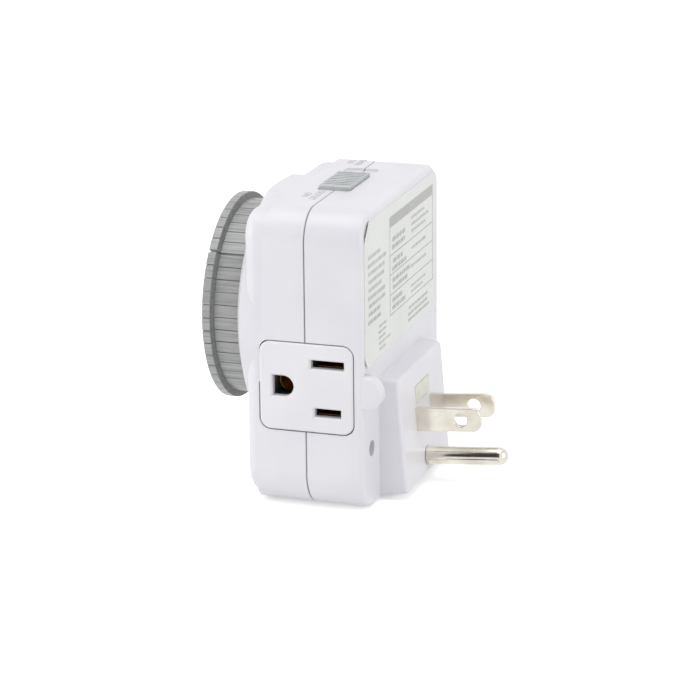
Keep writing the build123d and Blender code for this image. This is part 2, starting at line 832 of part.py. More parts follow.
# Dial wheel: hub, web, slotted rim, and a ring gear on its back
ring_outer = ring_module * (ring_teeth / 2 + tooth_depth) + ring_wall
ring_back = recess_floor_depth + ring_back_gap
with BuildPart() as dial_wheel:
    with BuildSketch(front_plane(-ring_back)):
        with Locations((0, dial_z)):
            Circle(ring_outer)
            cut_ring_teeth(wheel_angle)
    extrude(amount=strip_back_depth - ring_back)
    with BuildSketch(front_plane(-strip_back_depth)):
        with Locations((0, dial_z)):
            Circle(rim_radius)
            Circle(ring_pitch, mode=Mode.SUBTRACT)
    extrude(amount=web_front_depth - strip_back_depth)
    with BuildSketch(front_plane(-web_front_depth)):
        with Locations((0, dial_z)):
            Circle(rim_radius)
            Circle(rim_radius - rim_thickness, mode=Mode.SUBTRACT)
    extrude(amount=rim_front_depth - web_front_depth)
    with BuildSketch(front_plane(-web_front_depth)):
        with Locations((0, dial_z)):
            Circle(rim_radius - slide_gap)
            Circle(hub_radius + running_gap, mode=Mode.SUBTRACT)
    extrude(amount=-web_thickness)
    with BuildSketch(front_plane(-ring_back)):
        with Locations((0, dial_z)):
            Circle(hub_radius + hub_wall)
            Circle(hub_radius + running_gap, mode=Mode.SUBTRACT)
    extrude(amount=web_front_depth - ring_back)
    slot_height = tongue_height + slide_gap
    with BuildSketch(front_plane(-rim_front_depth)):
        with Locations((0, dial_z)):
            with PolarLocations(rim_radius - slot_height / 2, tripper_count, tripper_phase):
                Rectangle(slot_height + slide_gap, tongue_width + 2 * slide_gap)
    slot_length = rim_front_depth - strip_front_depth + tongue_length + tripper_travel + slide_gap
    extrude(amount=-slot_length, mode=Mode.SUBTRACT)
save(dial_wheel, "dial_wheel")

# Trippers: a long strip along the rim, a lip to press on, and a tongue in its slot
tripper_half_angle = math.radians(180 / tripper_count)
with BuildPart() as tripper:
    inner = strip_radius - strip_thickness
    inner_half = inner * math.tan(tripper_half_angle) - tripper_gap / 2
    outer_half = lip_radius * math.tan(tripper_half_angle) - tripper_gap / 2
    with BuildSketch(top_plane(dial_z)):
        with BuildLine():
            Polyline(
                (inner, -strip_back_depth),
                (inner, -lip_front_depth),
                (lip_radius, -lip_front_depth),
                (lip_radius, -strip_front_depth - lip_slope),
                (strip_radius, -strip_front_depth),
                (strip_radius, -strip_back_depth),
                close=True,
            )
        make_face()
    extrude(amount=outer_half, both=True)
    with BuildSketch(front_plane(-strip_back_depth)):
        with Locations((0, dial_z)):
            Polygon(
                (inner, -inner_half),
                (lip_radius, -outer_half),
                (lip_radius, outer_half),
                (inner, inner_half),
                align=None,
            )
    extrude(amount=lip_front_depth - strip_back_depth, mode=Mode.INTERSECT)
    chamfer(edges().filter_by(Axis.Y).group_by(Axis.X)[-1], lip_bevel)
    with BuildSketch(front_plane(-strip_front_depth + tongue_length)):
        with Locations((inner - tongue_height / 2, dial_z)):
            Rectangle(tongue_height + slide_gap, tongue_width)
    extrude(amount=tongue_length)

for number in range(single_trippers):
    with BuildPart() as single_tripper:
        add(tripper.part.rotate(dial_axis, tripper_phase + number * 360 / tripper_count))
    save(single_tripper, f"tripper_{number + 1:02d}")

with BuildPart() as other_trippers:
    for number in range(single_trippers, tripper_count):
        add(tripper.part.rotate(dial_axis, tripper_phase + number * 360 / tripper_count))
save(other_trippers, "other_trippers")

# Hour ring in the wheel, and the fixed cap in the middle
with BuildPart() as hour_ring:
    with BuildSketch(front_plane(-web_front_depth)):
        with Locations((0, dial_z)):
            Circle(rim_radius - rim_thickness - slide_gap)
            Circle(cap_radius - wall, mode=Mode.SUBTRACT)
    extrude(amount=face_thickness)
save(hour_ring, "hour_ring")

with BuildPart() as centre_cap:
    with BuildSketch(front_plane(-web_front_depth - face_thickness - face_gap)):
        with Locations((0, dial_z)):
            Circle(cap_radius)
    extrude(amount=cap_front_depth - web_front_depth - face_thickness - face_gap)
    fillet(edges().group_by(Axis.Y)[0], cap_edge)
    with BuildSketch(front_plane(-hub_depth)):
        with Locations((0, dial_z)):
            Circle(hub_radius - wall / 2)
    extrude(amount=cap_front_depth - hub_depth - wall / 2)
    with BuildSketch(front_plane(-recess_floor_depth - wall)):
        with Locations((0, dial_z)):
            Circle(cap_stem_radius)
    extrude(amount=hub_depth - recess_floor_depth)
    with BuildSketch(front_plane(-recess_floor_depth - wall)):
        with Locations((0, dial_z)):
            Circle(screw_radius + fit_gap)
    extrude(amount=hub_depth - recess_floor_depth - wall, mode=Mode.SUBTRACT)
save(centre_cap, "centre_cap")

with BuildPart() as hub_screw:
    with BuildSketch(front_plane(-recess_floor_depth)):
        with Locations((0, dial_z)):
            Circle(screw_head_radius)
    extrude(amount=-screw_head_height)
    with BuildSketch(front_plane(-recess_floor_depth)):
        with Locations((0, dial_z)):
            Circle(screw_radius)
    extrude(amount=hub_depth - recess_floor_depth - wall)
save(hub_screw, "hub_screw")

# Gear train from the motor to the ring gear
with BuildPart() as clutch_pinion:
    with BuildSketch(front_plane(-recess_floor_depth - slide_gap)):
        with Locations((wheel_x, wheel_z)):
            gear_teeth(pinion_teeth, ring_module, wheel_angle)
    extrude(amount=strip_back_depth - recess_floor_depth - wheel_gap)
    with BuildSketch(front_plane(wheel_back + washer_thickness)):
        with Locations((wheel_x, wheel_z)):
            Circle(clutch_hub_radius)
    extrude(amount=recess_floor_depth + wheel_back + washer_thickness + slide_gap)
    with BuildSketch(front_plane(wheel_back + washer_thickness)):
        with Locations((wheel_x, wheel_z)):
            Circle(axle_radius + running_gap)
    extrude(amount=strip_back_depth, mode=Mode.SUBTRACT)
save(clutch_pinion, "clutch_pinion")

with BuildPart() as reduction_wheel:
    with BuildSketch(front_plane(wheel_back)):
        with Locations((wheel_x, wheel_z)):
            gear_teeth(wheel_teeth, wheel_module, motor_angle + 180 / wheel_teeth)
            Circle(clutch_hub_radius + fit_gap, mode=Mode.SUBTRACT)
    extrude(amount=wheel_thickness)
save(reduction_wheel, "reduction_wheel")

with BuildPart() as clutch_washer:
    with BuildSketch(front_plane(wheel_back + washer_thickness)):
        with Locations((wheel_x, wheel_z)):
            Circle(clutch_hub_radius + washer_rim)
            Circle(clutch_hub_radius + fit_gap, mode=Mode.SUBTRACT)
    extrude(amount=washer_thickness)
save(clutch_washer, "clutch_washer")

with BuildPart() as wheel_axle:
    with BuildSketch(front_plane(plate_back)):
        with Locations((wheel_x, wheel_z)):
            Circle(axle_radius)
    extrude(amount=strip_back_depth + plate_back)
save(wheel_axle, "wheel_axle")

with BuildPart() as motor_pinion:
    with BuildSketch(front_plane(wheel_back + slide_gap)):
        with Locations((shaft_x, shaft_z)):
            gear_teeth(motor_teeth, wheel_module, motor_angle + 180)
    extrude(amount=wheel_thickness + 2 * slide_gap)
    with BuildSketch(front_plane(motor_front + shaft_depth)):
        with Locations((shaft_x, shaft_z)):
            Circle(shaft_radius)
    extrude(amount=motor_front + shaft_depth - wheel_back)
save(motor_pinion, "motor_pinion")

# Movement plate: a sheet round all its screws and the microswitch, with a notch for the lever
with BuildPart() as movement_plate:
    with BuildSketch(front_plane(plate_back)):
        with Locations(*plate_screw_places(), *motor_screw_places(), *microswitch_pegs()):
            Circle(ear_radius)
        make_hull()
        with Locations((lever_x, pusher_z - 2 * pusher_reach)):
            Rectangle(
                lever_width + 4 * slide_gap,
                lever_length,
                align=(Align.CENTER, Align.MIN),
                mode=Mode.SUBTRACT,
            )
        with Locations(*plate_screw_places()):
            Circle(screw_radius + slide_gap, mode=Mode.SUBTRACT)
        with Locations(*motor_screw_places()):
            Circle(screw_radius + fit_gap, mode=Mode.SUBTRACT)
        with Locations((wheel_x, wheel_z)):
            Circle(axle_radius, mode=Mode.SUBTRACT)
        with Locations((shaft_x, shaft_z)):
            Circle(wheel_module * (motor_teeth / 2 + tooth_rise) + slide_gap, mode=Mode.SUBTRACT)
    extrude(amount=plate_thickness)
    with BuildSketch(front_plane(plate_back + micro_depth + peg_end)):
        with Locations(*microswitch_pegs()):
            Circle(peg_radius)
    extrude(amount=micro_depth + peg_end)
save(movement_plate, "movement_plate")

with BuildPart() as plate_screws:
    with BuildSketch(front_plane(plate_back)):
        with Locations(*plate_screw_places()):
            Circle(screw_head_radius)
    extrude(amount=-flat_head_height)
    with BuildSketch(front_plane(plate_back)):
        with Locations(*plate_screw_places()):
            Circle(screw_radius)
    extrude(amount=plate_thickness + thread_length)
save(plate_screws, "plate_screws")

# Synchronous motor: end plate with two ears, the can, and its two leads
with BuildPart() as motor_end_plate:
    with BuildSketch(front_plane(motor_front)):
        with Locations(*motor_screw_places()):
            Circle(ear_radius)
        make_hull()
        with Locations((motor_x, motor_z)):
            Circle(motor_radius)
        with Locations(*motor_screw_places()):
            Circle(screw_radius + slide_gap, mode=Mode.SUBTRACT)
        with Locations((shaft_x, shaft_z)):
            Circle(shaft_radius + running_gap, mode=Mode.SUBTRACT)
    extrude(amount=motor_plate)
save(motor_end_plate, "motor_end_plate")

with BuildPart() as motor_can:
    with BuildSketch(front_plane(motor_back)):
        with Locations((motor_x, motor_z)):
            Circle(motor_radius)
    extrude(amount=motor_depth)
    fillet(edges().group_by(Axis.Y)[-1], motor_edge)
    with BuildSketch(front_plane(plate_back)):
        with Locations((shaft_x, shaft_z)):
            Circle(shaft_radius + running_gap)
    extrude(amount=-motor_plate - shaft_depth - slide_gap, mode=Mode.SUBTRACT)
save(motor_can, "motor_can")

with BuildPart() as motor_screws:
    with BuildSketch(front_plane(motor_front)):
        with Locations(*motor_screw_places()):
            Circle(screw_head_radius)
    extrude(amount=-flat_head_height)
    with BuildSketch(front_plane(motor_front)):
        with Locations(*motor_screw_places()):
            Circle(screw_radius)
    extrude(amount=motor_plate + plate_thickness)
save(motor_screws, "motor_screws")

lead_start_z = motor_z - motor_radius + 3 * motor_edge
neutral_lead_x = (clip_web_x - strip_width) * 2 / 3
neutral_lead_z = outlet_z + slot_spacing / 3
lead_ends = [
    ((blade_spacing / 2, motor_back, lead_start_z), (blade_spacing / 2, line_y - sheet, line_bend_z - lead_drop)),
    ((neutral_lead_x, motor_back, lead_start_z), (neutral_lead_x, neutral_y - sheet, neutral_lead_z)),
]
with BuildPart() as motor_leads:
    for lead_start, lead_end in lead_ends:
        with BuildLine() as lead:
            Spline(lead_start, lead_end, tangents=((0, 1, 0), (0, 1, 0)))
        with BuildSketch(Plane(origin=lead_start, z_dir=(0, 1, 0))) as wire:
            Circle(lead_radius)
        sweep(wire.sketch, path=lead.line)
save(motor_leads, "motor_leads")

# Trip lever: a rocking plate with a nose in the path of the pressed trippers
with BuildPart() as trip_lever:
    with BuildSketch(side_plane(lever_x - lever_width / 2)):
        with Locations((lever_y, lever_z + lever_length / 2)):
            Rectangle(lever_thickness, lever_length)
        with Locations((lever_y, lever_z)):
            Circle(2 * pivot_radius)
        with Locations((lever_y + lever_thickness / 2, pusher_z)):
            Circle(pusher_reach)
    extrude(amount=lever_width)
    with BuildSketch(front_plane(lever_y)):
        with Locations((lever_x, nose_z)):
            Rectangle(nose_width, nose_height)
    extrude(amount=lever_y - nose_tip)
    with BuildSketch(side_plane(lever_x)):
        with Locations((lever_y, lever_z)):
            Circle(pivot_radius + running_gap)
    extrude(amount=lever_width, both=True, mode=Mode.SUBTRACT)
save(trip_lever, "trip_lever")

with BuildPart() as lever_pin:
    with BuildSketch(side_plane(lever_x)):
        with Locations((lever_y, lever_z)):
            Circle(pivot_radius)
    extrude(amount=lug_x + lug_thickness / 2, both=True)
save(lever_pin, "lever_pin")

# Microswitch
button_front = lever_y + lever_thickness / 2 + pusher_reach + button_gap
with BuildPart() as microswitch_case:
    with BuildSketch(front_plane(plate_back + micro_depth)):
        with Locations((micro_x, micro_z)):
            RectangleRounded(micro_width, micro_height, micro_corner)
        with Locations(*microswitch_pegs()):
            Circle(peg_radius + fit_gap, mode=Mode.SUBTRACT)
    extrude(amount=micro_depth)
    with BuildSketch(front_plane(plate_back)):
        with Locations((lever_x, pusher_z)):
            Circle(button_radius + running_gap)
    extrude(amount=-button_length, mode=Mode.SUBTRACT)
save(microswitch_case, "microswitch_case")

with BuildPart() as microswitch_button:
    with BuildSketch(front_plane(button_front + button_length)):
        with Locations((lever_x, pusher_z)):
            Circle(button_radius)
    extrude(amount=button_length)
save(microswitch_button, "microswitch_button")

with BuildPart() as microswitch_terminals:
    for tab_z, tab_back in ((line_tab_z, line_y - sheet), (load_tab_z, load_y - sheet)):
        with BuildSketch(front_plane(tab_back)):
            with Locations((tab_x, tab_z)):
                Rectangle(tab_width, sheet)
        extrude(amount=tab_back - plate_back - micro_depth)
save(microswitch_terminals, "microswitch_terminals")

# Slide switch: ribbed button, stem, and the bridge contact under it
slider_base = case_height - scoop_depth + slide_gap
with BuildPart() as mode_slider:
    with BuildSketch(front_plane(slider_y + slider_width / 2)):
        with BuildLine():
            Polyline(
                (slider_x - slider_length / 2, slider_base),
                (slider_x + slider_length / 2, slider_base),
                (slider_x + slider_length / 2, slider_top - slider_shoulder),
                (slider_x + slider_length / 2 - slider_end_slope, slider_top),
                (slider_x - slider_length / 2 + slider_end_slope, slider_top),
                (slider_x - slider_length / 2, slider_top - slider_shoulder),
                close=True,
            )
        make_face()
    extrude(amount=slider_width)
    rib_count = int((slider_length - 2 * slider_end_slope) / slider_rib_pitch)
    with BuildSketch(top_plane(slider_top)):
        with Locations((slider_x, slider_y)):
            with GridLocations(slider_rib_pitch, 0, rib_count, 1):
                Rectangle(slider_rib_pitch / 2, slider_width)
    extrude(amount=-slider_rib_depth, mode=Mode.SUBTRACT)
    with BuildSketch(top_plane(slider_base)):
        with Locations((slider_x, slider_y)):
            Rectangle(stem_length, stem_width)
    extrude(amount=-(slider_base - bypass_base_z - bypass_height - sheet))
save(mode_slider, "mode_slider")

bridge_z = bypass_base_z + bypass_height + clip_leaf + slide_gap
with BuildPart() as bridge_contact:
    with BuildSketch(top_plane(bridge_z)):
        with Locations((slider_x, slider_y)):
            Rectangle(2 * stem_length, stem_width)
    extrude(amount=sheet - clip_leaf - slide_gap)
save(bridge_contact, "bridge_contact")

# Base of the slide switch, held by its two end walls under the top of the case
with BuildPart() as bypass_base:
    base_x = slider_x - slider_travel / 2
    base_length = slider_travel + 2 * stem_length + 2.5 * wall
    with BuildSketch(top_plane(bypass_base_z)):
        with Locations((base_x, slider_y)):
            Rectangle(base_length, 2 * stem_width)
    extrude(amount=bypass_height)
    wall_height = case_height - wall - bypass_base_z
    with BuildSketch(top_plane(bypass_base_z)):
        with Locations((base_x, slider_y)):
            with GridLocations(base_length - wall / 2, 0, 2, 1):
                Rectangle(wall / 2, 2 * stem_width)
    extrude(amount=wall_height)
save(bypass_base, "bypass_base")

with BuildPart() as bypass_terminals:
    for bypass_x, tab_back in ((bypass_line_x, line_y - sheet), (bypass_load_x, load_y - sheet)):
        with BuildSketch(top_plane(bypass_base_z + bypass_height)):
            with Locations((bypass_x, (tab_back + slider_y - stem_width / 2) / 2)):
                Rectangle(tab_width, tab_back - slider_y + stem_width / 2)
        extrude(amount=clip_leaf)
save(bypass_terminals, "bypass_terminals")

# Label and sticker
label_bottom = block_top + label_rise
label_top = case_height - label_drop
with BuildPart() as rating_label:
    with BuildSketch(front_plane(rear_depth + label_thickness)):
        with Locations((0, (label_bottom + label_top) / 2)):
            RectangleRounded(case_width - 2 * label_side_inset, label_top - label_bottom, label_corner)
    extrude(amount=label_thickness)
save(rating_label, "rating_label")

with BuildPart() as date_sticker:
    with BuildSketch(plug_plane):
        with Locations((0, sticker_rise)):
            Rectangle(sticker_width, sticker_height)
    extrude(amount=-label_thickness)
save(date_sticker, "date_sticker")
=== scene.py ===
import bpy
import math
import random
from mathutils import Matrix, Vector


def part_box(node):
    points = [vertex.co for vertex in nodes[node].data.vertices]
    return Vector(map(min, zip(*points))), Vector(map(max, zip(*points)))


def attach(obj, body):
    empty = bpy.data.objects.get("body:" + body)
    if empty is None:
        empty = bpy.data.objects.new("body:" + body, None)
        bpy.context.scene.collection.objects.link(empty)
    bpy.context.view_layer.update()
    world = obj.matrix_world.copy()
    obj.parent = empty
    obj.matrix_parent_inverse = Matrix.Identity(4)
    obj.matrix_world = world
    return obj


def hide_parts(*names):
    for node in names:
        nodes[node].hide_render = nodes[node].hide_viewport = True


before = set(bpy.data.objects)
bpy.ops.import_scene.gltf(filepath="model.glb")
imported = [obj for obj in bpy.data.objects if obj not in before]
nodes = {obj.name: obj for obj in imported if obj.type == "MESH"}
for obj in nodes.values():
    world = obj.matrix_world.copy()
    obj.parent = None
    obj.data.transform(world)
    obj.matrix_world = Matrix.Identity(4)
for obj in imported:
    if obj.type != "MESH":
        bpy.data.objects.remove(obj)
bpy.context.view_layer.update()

mm = 0.001
along = 0.9  # from this share on, a normal or an edge points along an axis
near = 0.1  # what lies within this distance of a place, in millimetres, is at it
print("frame loaded:", len(nodes), "nodes")


def inMm(box):
    # the lowest and the highest corner of a box, in millimetres and free of the frame's rounding
    return [[round(v / mm, 3) for v in corner] for corner in box]


def clearSelection():
    if bpy.context.object and bpy.context.object.mode != "OBJECT":
        bpy.ops.object.mode_set(mode="OBJECT")
    bpy.ops.object.select_all(action="DESELECT")


def pickOnly(piece):
    clearSelection()
    piece.select_set(True)
    bpy.context.view_layer.objects.active = piece


def startEdit(piece, mode):
    # edit mode with nothing selected
    pickOnly(piece)
    bpy.ops.object.mode_set(mode="EDIT")
    bpy.ops.mesh.select_mode(type=mode)
    bpy.ops.mesh.select_all(action="DESELECT")


def endEdit():
    bpy.ops.object.mode_set(mode="OBJECT")


def keepPlace(name):
    # the new primitive gets its name, and its place goes into its mesh
    piece = bpy.context.object
    piece.name = name
    bpy.ops.object.transform_apply(location=True, rotation=True, scale=True)
    return piece


def boxPiece(name, low, high):
    # a cube by two corners in millimetres
    clearSelection()
    size = [(b - a) * mm for a, b in zip(low, high)]
    middle = [(a + b) / 2 * mm for a, b in zip(low, high)]
    bpy.ops.mesh.primitive_cube_add(size=1, location=middle, scale=size)
    return keepPlace(name)


def rodPiece(name, radius, start, end, sides):
    # a cylinder between two points in millimetres
    clearSelection()
    a, b = Vector(start) * mm, Vector(end) * mm
    facing = (b - a).to_track_quat("Z", "Y").to_euler()
    bpy.ops.mesh.primitive_cylinder_add(vertices=sides, radius=radius * mm, depth=(b - a).length,
                                        location=(a + b) / 2, rotation=facing)
    return keepPlace(name)


def selectFaces(piece, test):
    # faces picked by their middle in millimetres and their normal
    startEdit(piece, "FACE")
    endEdit()
    for face in piece.data.polygons:
        face.select = bool(test(face.center / mm, face.normal))
    bpy.ops.object.mode_set(mode="EDIT")


def selectEdges(piece, test):
    # edges picked by their middle in millimetres and their direction
    startEdit(piece, "EDGE")
    endEdit()
    points = piece.data.vertices
    for edge in piece.data.edges:
        a, b = (points[i].co for i in edge.vertices)
        edge.select = bool(test((a + b) / 2 / mm, (b - a).normalized()))
    bpy.ops.object.mode_set(mode="EDIT")


def moveSelected(x=0, y=0, z=0):
    bpy.ops.transform.translate(value=(x * mm, y * mm, z * mm))


def pushSelected(x=0, y=0, z=0):
    # extrude what is selected by a step in millimetres
    bpy.ops.mesh.extrude_region_move(TRANSFORM_OT_translate={"value": (x * mm, y * mm, z * mm)})


def scaleSelected(scale, centre):
    bpy.ops.transform.resize(value=scale, center_override=[v * mm for v in centre])


def bevelSelected(width, segments):
    bpy.ops.mesh.bevel(offset=width * mm, segments=segments)


def insetSelected(width):
    bpy.ops.mesh.inset(thickness=width * mm)


def cutAcross(piece, spots, normal):
    # bisect the whole mesh at several spots, in millimetres along one direction
    startEdit(piece, "FACE")
    for spot in spots:
        bpy.ops.mesh.select_all(action="SELECT")
        bpy.ops.mesh.bisect(plane_co=[spot * mm * n for n in normal], plane_no=normal)
    endEdit()


def cutOff(piece, spot, normal):
    # keep what lies past a plane, and close the cut
    startEdit(piece, "FACE")
    bpy.ops.mesh.select_all(action="SELECT")
    bpy.ops.mesh.bisect(plane_co=[v * mm for v in spot], plane_no=normal, use_fill=True, clear_inner=True)
    endEdit()


def addBevel(piece, width, segments, angle):
    bevel = piece.modifiers.new("edges", "BEVEL")
    bevel.width = width * mm
    bevel.segments = segments
    bevel.limit_method = "ANGLE"
    bevel.angle_limit = math.radians(angle)
    return bevel


def roundEdges(piece, width, segments, angle=30):
    pickOnly(piece)
    bevel = addBevel(piece, width, segments, angle)
    bpy.ops.object.modifier_apply(modifier=bevel.name)


def smoothPiece(piece, angle=35):
    # smooth shading that leaves the large faces flat
    pickOnly(piece)
    bpy.ops.object.shade_smooth_by_angle(angle=math.radians(angle))
    weighted = piece.modifiers.new("weighted", "WEIGHTED_NORMAL")
    weighted.keep_sharp = True
    bpy.ops.object.modifier_apply(modifier=weighted.name)


def cutWith(piece, cutter):
    pickOnly(piece)
    cut = piece.modifiers.new("cut", "BOOLEAN")
    cut.operation = "DIFFERENCE"
    cut.solver = "EXACT"
    cut.object = cutter
    bpy.ops.object.modifier_apply(modifier=cut.name)
    bpy.data.objects.remove(cutter)


def copyPiece(piece, name, matrix):
    # a copy with a mesh of its own, moved by a matrix
    pickOnly(piece)
    bpy.ops.object.duplicate()
    twin = bpy.context.object
    twin.name = name
    twin.data.transform(matrix)
    return twin


def joinPieces(pieces, name):
    pickOnly(pieces[0])
    for piece in pieces:
        piece.select_set(True)
    if len(pieces) > 1:
        bpy.ops.object.join()
    bpy.context.object.name = name
    return bpy.context.object


def textPiece(name, words, height, matrix, thickness, curveSteps=4):
    # words as a thin mesh, laid by a matrix
    clearSelection()
    bpy.ops.object.text_add()
    piece = bpy.context.object
    piece.data.body = words
    piece.data.size = height * mm
    piece.data.align_x = "CENTER"
    piece.data.align_y = "CENTER"
    piece.data.extrude = thickness / 2 * mm
    piece.data.resolution_u = curveSteps
    bpy.ops.object.convert(target="MESH")
    piece = bpy.context.object
    piece.name = name
    piece.data.transform(matrix)
    return piece


def place(x, y, z):
    # a move in millimetres
    return Matrix.Translation((x * mm, y * mm, z * mm))


def turn(angle, axis):
    # a turn in degrees about an axis through the origin
    return Matrix.Rotation(math.radians(angle), 4, axis)


def giveMaterial(piece, material):
    piece.data.materials.clear()
    piece.data.materials.append(material)


def finish(piece, material, body, slot, *replaced):
    if material:
        giveMaterial(piece, material)
    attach(piece, body)
    if replaced:
        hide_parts(*replaced)


def newMaterial(name):
    material = bpy.data.materials.new(name)
    material.use_nodes = True
    return material, material.node_tree


def feed(graph, value, socket):
    # a socket takes another node's output or a plain value
    if isinstance(value, bpy.types.NodeSocket):
        graph.links.new(value, socket)
    else:
        socket.default_value = value


def addMath(graph, operation, *values):
    node = graph.nodes.new("ShaderNodeMath")
    node.operation = operation
    for value, socket in zip(values, node.inputs):
        feed(graph, value, socket)
    return node.outputs["Value"]


def addMix(graph, amount, first, second):
    # the first colour where the amount is 0, the second where it is 1
    mix = graph.nodes.new("ShaderNodeMix")
    mix.data_type = "RGBA"
    for value, socket in ((amount, "Factor"), (first, "A"), (second, "B")):
        feed(graph, value, mix.inputs[socket])
    return mix.outputs["Result"]


def addRange(graph, source, low=0.0, high=1.0, start=0.0, end=1.0):
    # what goes from start to end comes out from low to high
    span = graph.nodes.new("ShaderNodeMapRange")
    feed(graph, source, span.inputs["Value"])
    for value, socket in ((start, "From Min"), (end, "From Max"), (low, "To Min"), (high, "To Max")):
        feed(graph, value, span.inputs[socket])
    return span.outputs["Result"]


def addRamp(graph, source, low, high, start=0.35, end=0.65):
    ramp = graph.nodes.new("ShaderNodeValToRGB")
    for stop, position, colour in zip(ramp.color_ramp.elements, (start, end), (low, high)):
        stop.position = position
        stop.color = (*colour, 1)
    feed(graph, source, ramp.inputs["Fac"])
    return ramp.outputs["Color"]


def addNoise(graph, where, scale, detail, stretch=None):
    noise = graph.nodes.new("ShaderNodeTexNoise")
    noise.inputs["Scale"].default_value = scale
    noise.inputs["Detail"].default_value = detail
    if stretch:
        mapping = graph.nodes.new("ShaderNodeMapping")
        mapping.inputs["Scale"].default_value = stretch
        feed(graph, where, mapping.inputs["Vector"])
        where = mapping.outputs["Vector"]
    feed(graph, where, noise.inputs["Vector"])
    return noise.outputs["Fac"]


def addBump(graph, height, strength, depth):
    bump = graph.nodes.new("ShaderNodeBump")
    for value, socket in ((strength, "Strength"), (depth * mm, "Distance"), (height, "Height")):
        feed(graph, value, bump.inputs[socket])
    return bump.outputs["Normal"]


def addShade(graph, where, colour, shade):
    # painted shade deep in a joint or a slot, near the middle plane of one axis
    parts = graph.nodes.new("ShaderNodeSeparateXYZ")
    feed(graph, where, parts.inputs["Vector"])
    away = addMath(graph, "ABSOLUTE", parts.outputs[shade["axis"]])
    fade = addRange(graph, away, start=shade["half"] * mm, end=(shade["half"] + shade["soft"]) * mm)
    shaded = addMix(graph, fade, (*shade["colour"], 1), colour)
    if "inside" not in shade:
        return shaded
    # it stays inside a rectangle, and the rim round it keeps its own colour
    rims = []
    for axis, (low, high) in shade["inside"].items():
        away = addMath(graph, "ABSOLUTE", addMath(graph, "SUBTRACT", parts.outputs[axis], (low + high) / 2))
        end = (high - low) / 2 - shade["rim"] * mm
        rims.append(addRange(graph, away, start=end - shade["rimSoft"] * mm, end=end))
    return addMix(graph, addMath(graph, "MAXIMUM", *rims), shaded, colour)


plasticGrain = {
    "cloudDetail": 4, "glossDetail": 5, "grainDetail": 2, "glowColour": (0.6, 0.55, 0.6), "glowDepth": 1.0,
}
metalGrain = {"stainDetail": 5, "lineDetail": 2}


def plasticMaterial(name, look):
    # moulded plastic: cloudy tone, uneven gloss and a fine eroded grain
    material, graph = newMaterial(name)
    shader = graph.nodes["Principled BSDF"]
    where = graph.nodes.new("ShaderNodeTexCoord").outputs["Object"]
    cloud = addNoise(graph, where, look["cloudScale"], plasticGrain["cloudDetail"], look.get("stretch"))
    colour = addRamp(graph, cloud, look["dark"], look["light"])
    if "shade" in look:
        colour = addShade(graph, where, colour, look["shade"])
    patches = addNoise(graph, where, look["glossScale"], plasticGrain["glossDetail"])
    grain = addNoise(graph, where, look["grainScale"], plasticGrain["grainDetail"], look.get("stretch"))
    feed(graph, colour, shader.inputs["Base Color"])
    feed(graph, addRange(graph, patches, look["smooth"], look["rough"]), shader.inputs["Roughness"])
    feed(graph, addBump(graph, grain, look["grainStrength"], look["grainDepth"]), shader.inputs["Normal"])
    shader.inputs["Specular IOR Level"].default_value = look.get("specular", 0.5)
    shader.inputs["Subsurface Weight"].default_value = look.get("glow", 0.0)
    shader.inputs["Subsurface Radius"].default_value = plasticGrain["glowColour"]
    shader.inputs["Subsurface Scale"].default_value = plasticGrain["glowDepth"] * mm
    return material


def metalMaterial(name, look):
    # plated or bare metal: slight stains, drawn lines and tiny dents
    material, graph = newMaterial(name)
    shader = graph.nodes["Principled BSDF"]
    where = graph.nodes.new("ShaderNodeTexCoord").outputs["Object"]
    stain = addNoise(graph, where, look["stainScale"], metalGrain["stainDetail"])
    lines = addNoise(graph, where, look["lineScale"], metalGrain["lineDetail"], look["lineStretch"])
    feed(graph, addRamp(graph, stain, look["dark"], look["light"]), shader.inputs["Base Color"])
    feed(graph, addRange(graph, lines, look["smooth"], look["rough"]), shader.inputs["Roughness"])
    feed(graph, addBump(graph, lines, look["lineStrength"], look["lineDepth"]), shader.inputs["Normal"])
    shader.inputs["Metallic"].default_value = 1.0
    return material


# colours run from dark to light and roughness from smooth to rough; glow is light that goes into a plastic;
# depths, and how far a shade reaches from its middle plane and fades, are in millimetres
caseLook = {
    "dark": (0.765, 0.755, 0.80), "light": (0.80, 0.79, 0.83), "cloudScale": 60,
    "smooth": 0.26, "rough": 0.38, "glossScale": 90, "grainScale": 2600,
    "grainStrength": 0.12, "grainDepth": 0.02, "glow": 0.05,
}
# painted shade in the seam between the two shells: a dark line along the middle plane
seamShade = {"axis": "Y", "half": 0.08, "soft": 0.15, "colour": (0.30, 0.29, 0.32)}
shellLook = dict(caseLook, shade=seamShade)
plateLow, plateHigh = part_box("right_outlet_face")
# painted shade inside the outlet's slots, darker with depth and kept off the plate's rim
slotShade = {
    "axis": "X", "half": 30.9, "soft": 0.6, "colour": (0.10, 0.095, 0.10), "rim": 0.8, "rimSoft": 0.4,
    "inside": {"Y": (plateLow[1], plateHigh[1]), "Z": (plateLow[2], plateHigh[2])},
}
outletLook = dict(caseLook, dark=(0.78, 0.77, 0.81), light=(0.82, 0.81, 0.84), smooth=0.2, rough=0.3,
                  grainStrength=0.06, shade=slotShade)
tripperLook = {
    "dark": (0.295, 0.30, 0.298), "light": (0.40, 0.405, 0.40), "cloudScale": 1500, "stretch": (1, 0.05, 1),
    "smooth": 0.16, "rough": 0.32, "glossScale": 500, "grainScale": 1800, "specular": 0.65,
    "grainStrength": 0.4, "grainDepth": 0.04,
}
# a darker copy of the tripper plastic for the sloping faces behind the lips: painted shade
slopeShadeLook = dict(tripperLook, dark=(0.20, 0.204, 0.202), light=(0.27, 0.273, 0.27), smooth=0.5, rough=0.65)
sliderLook = {
    "dark": (0.50, 0.52, 0.53), "light": (0.58, 0.60, 0.61), "cloudScale": 400,
    "smooth": 0.32, "rough": 0.48, "glossScale": 500, "grainScale": 3000,
    "grainStrength": 0.2, "grainDepth": 0.03,
}
wheelLook = dict(caseLook, dark=(0.70, 0.70, 0.72), light=(0.76, 0.76, 0.78), smooth=0.35, rough=0.5)
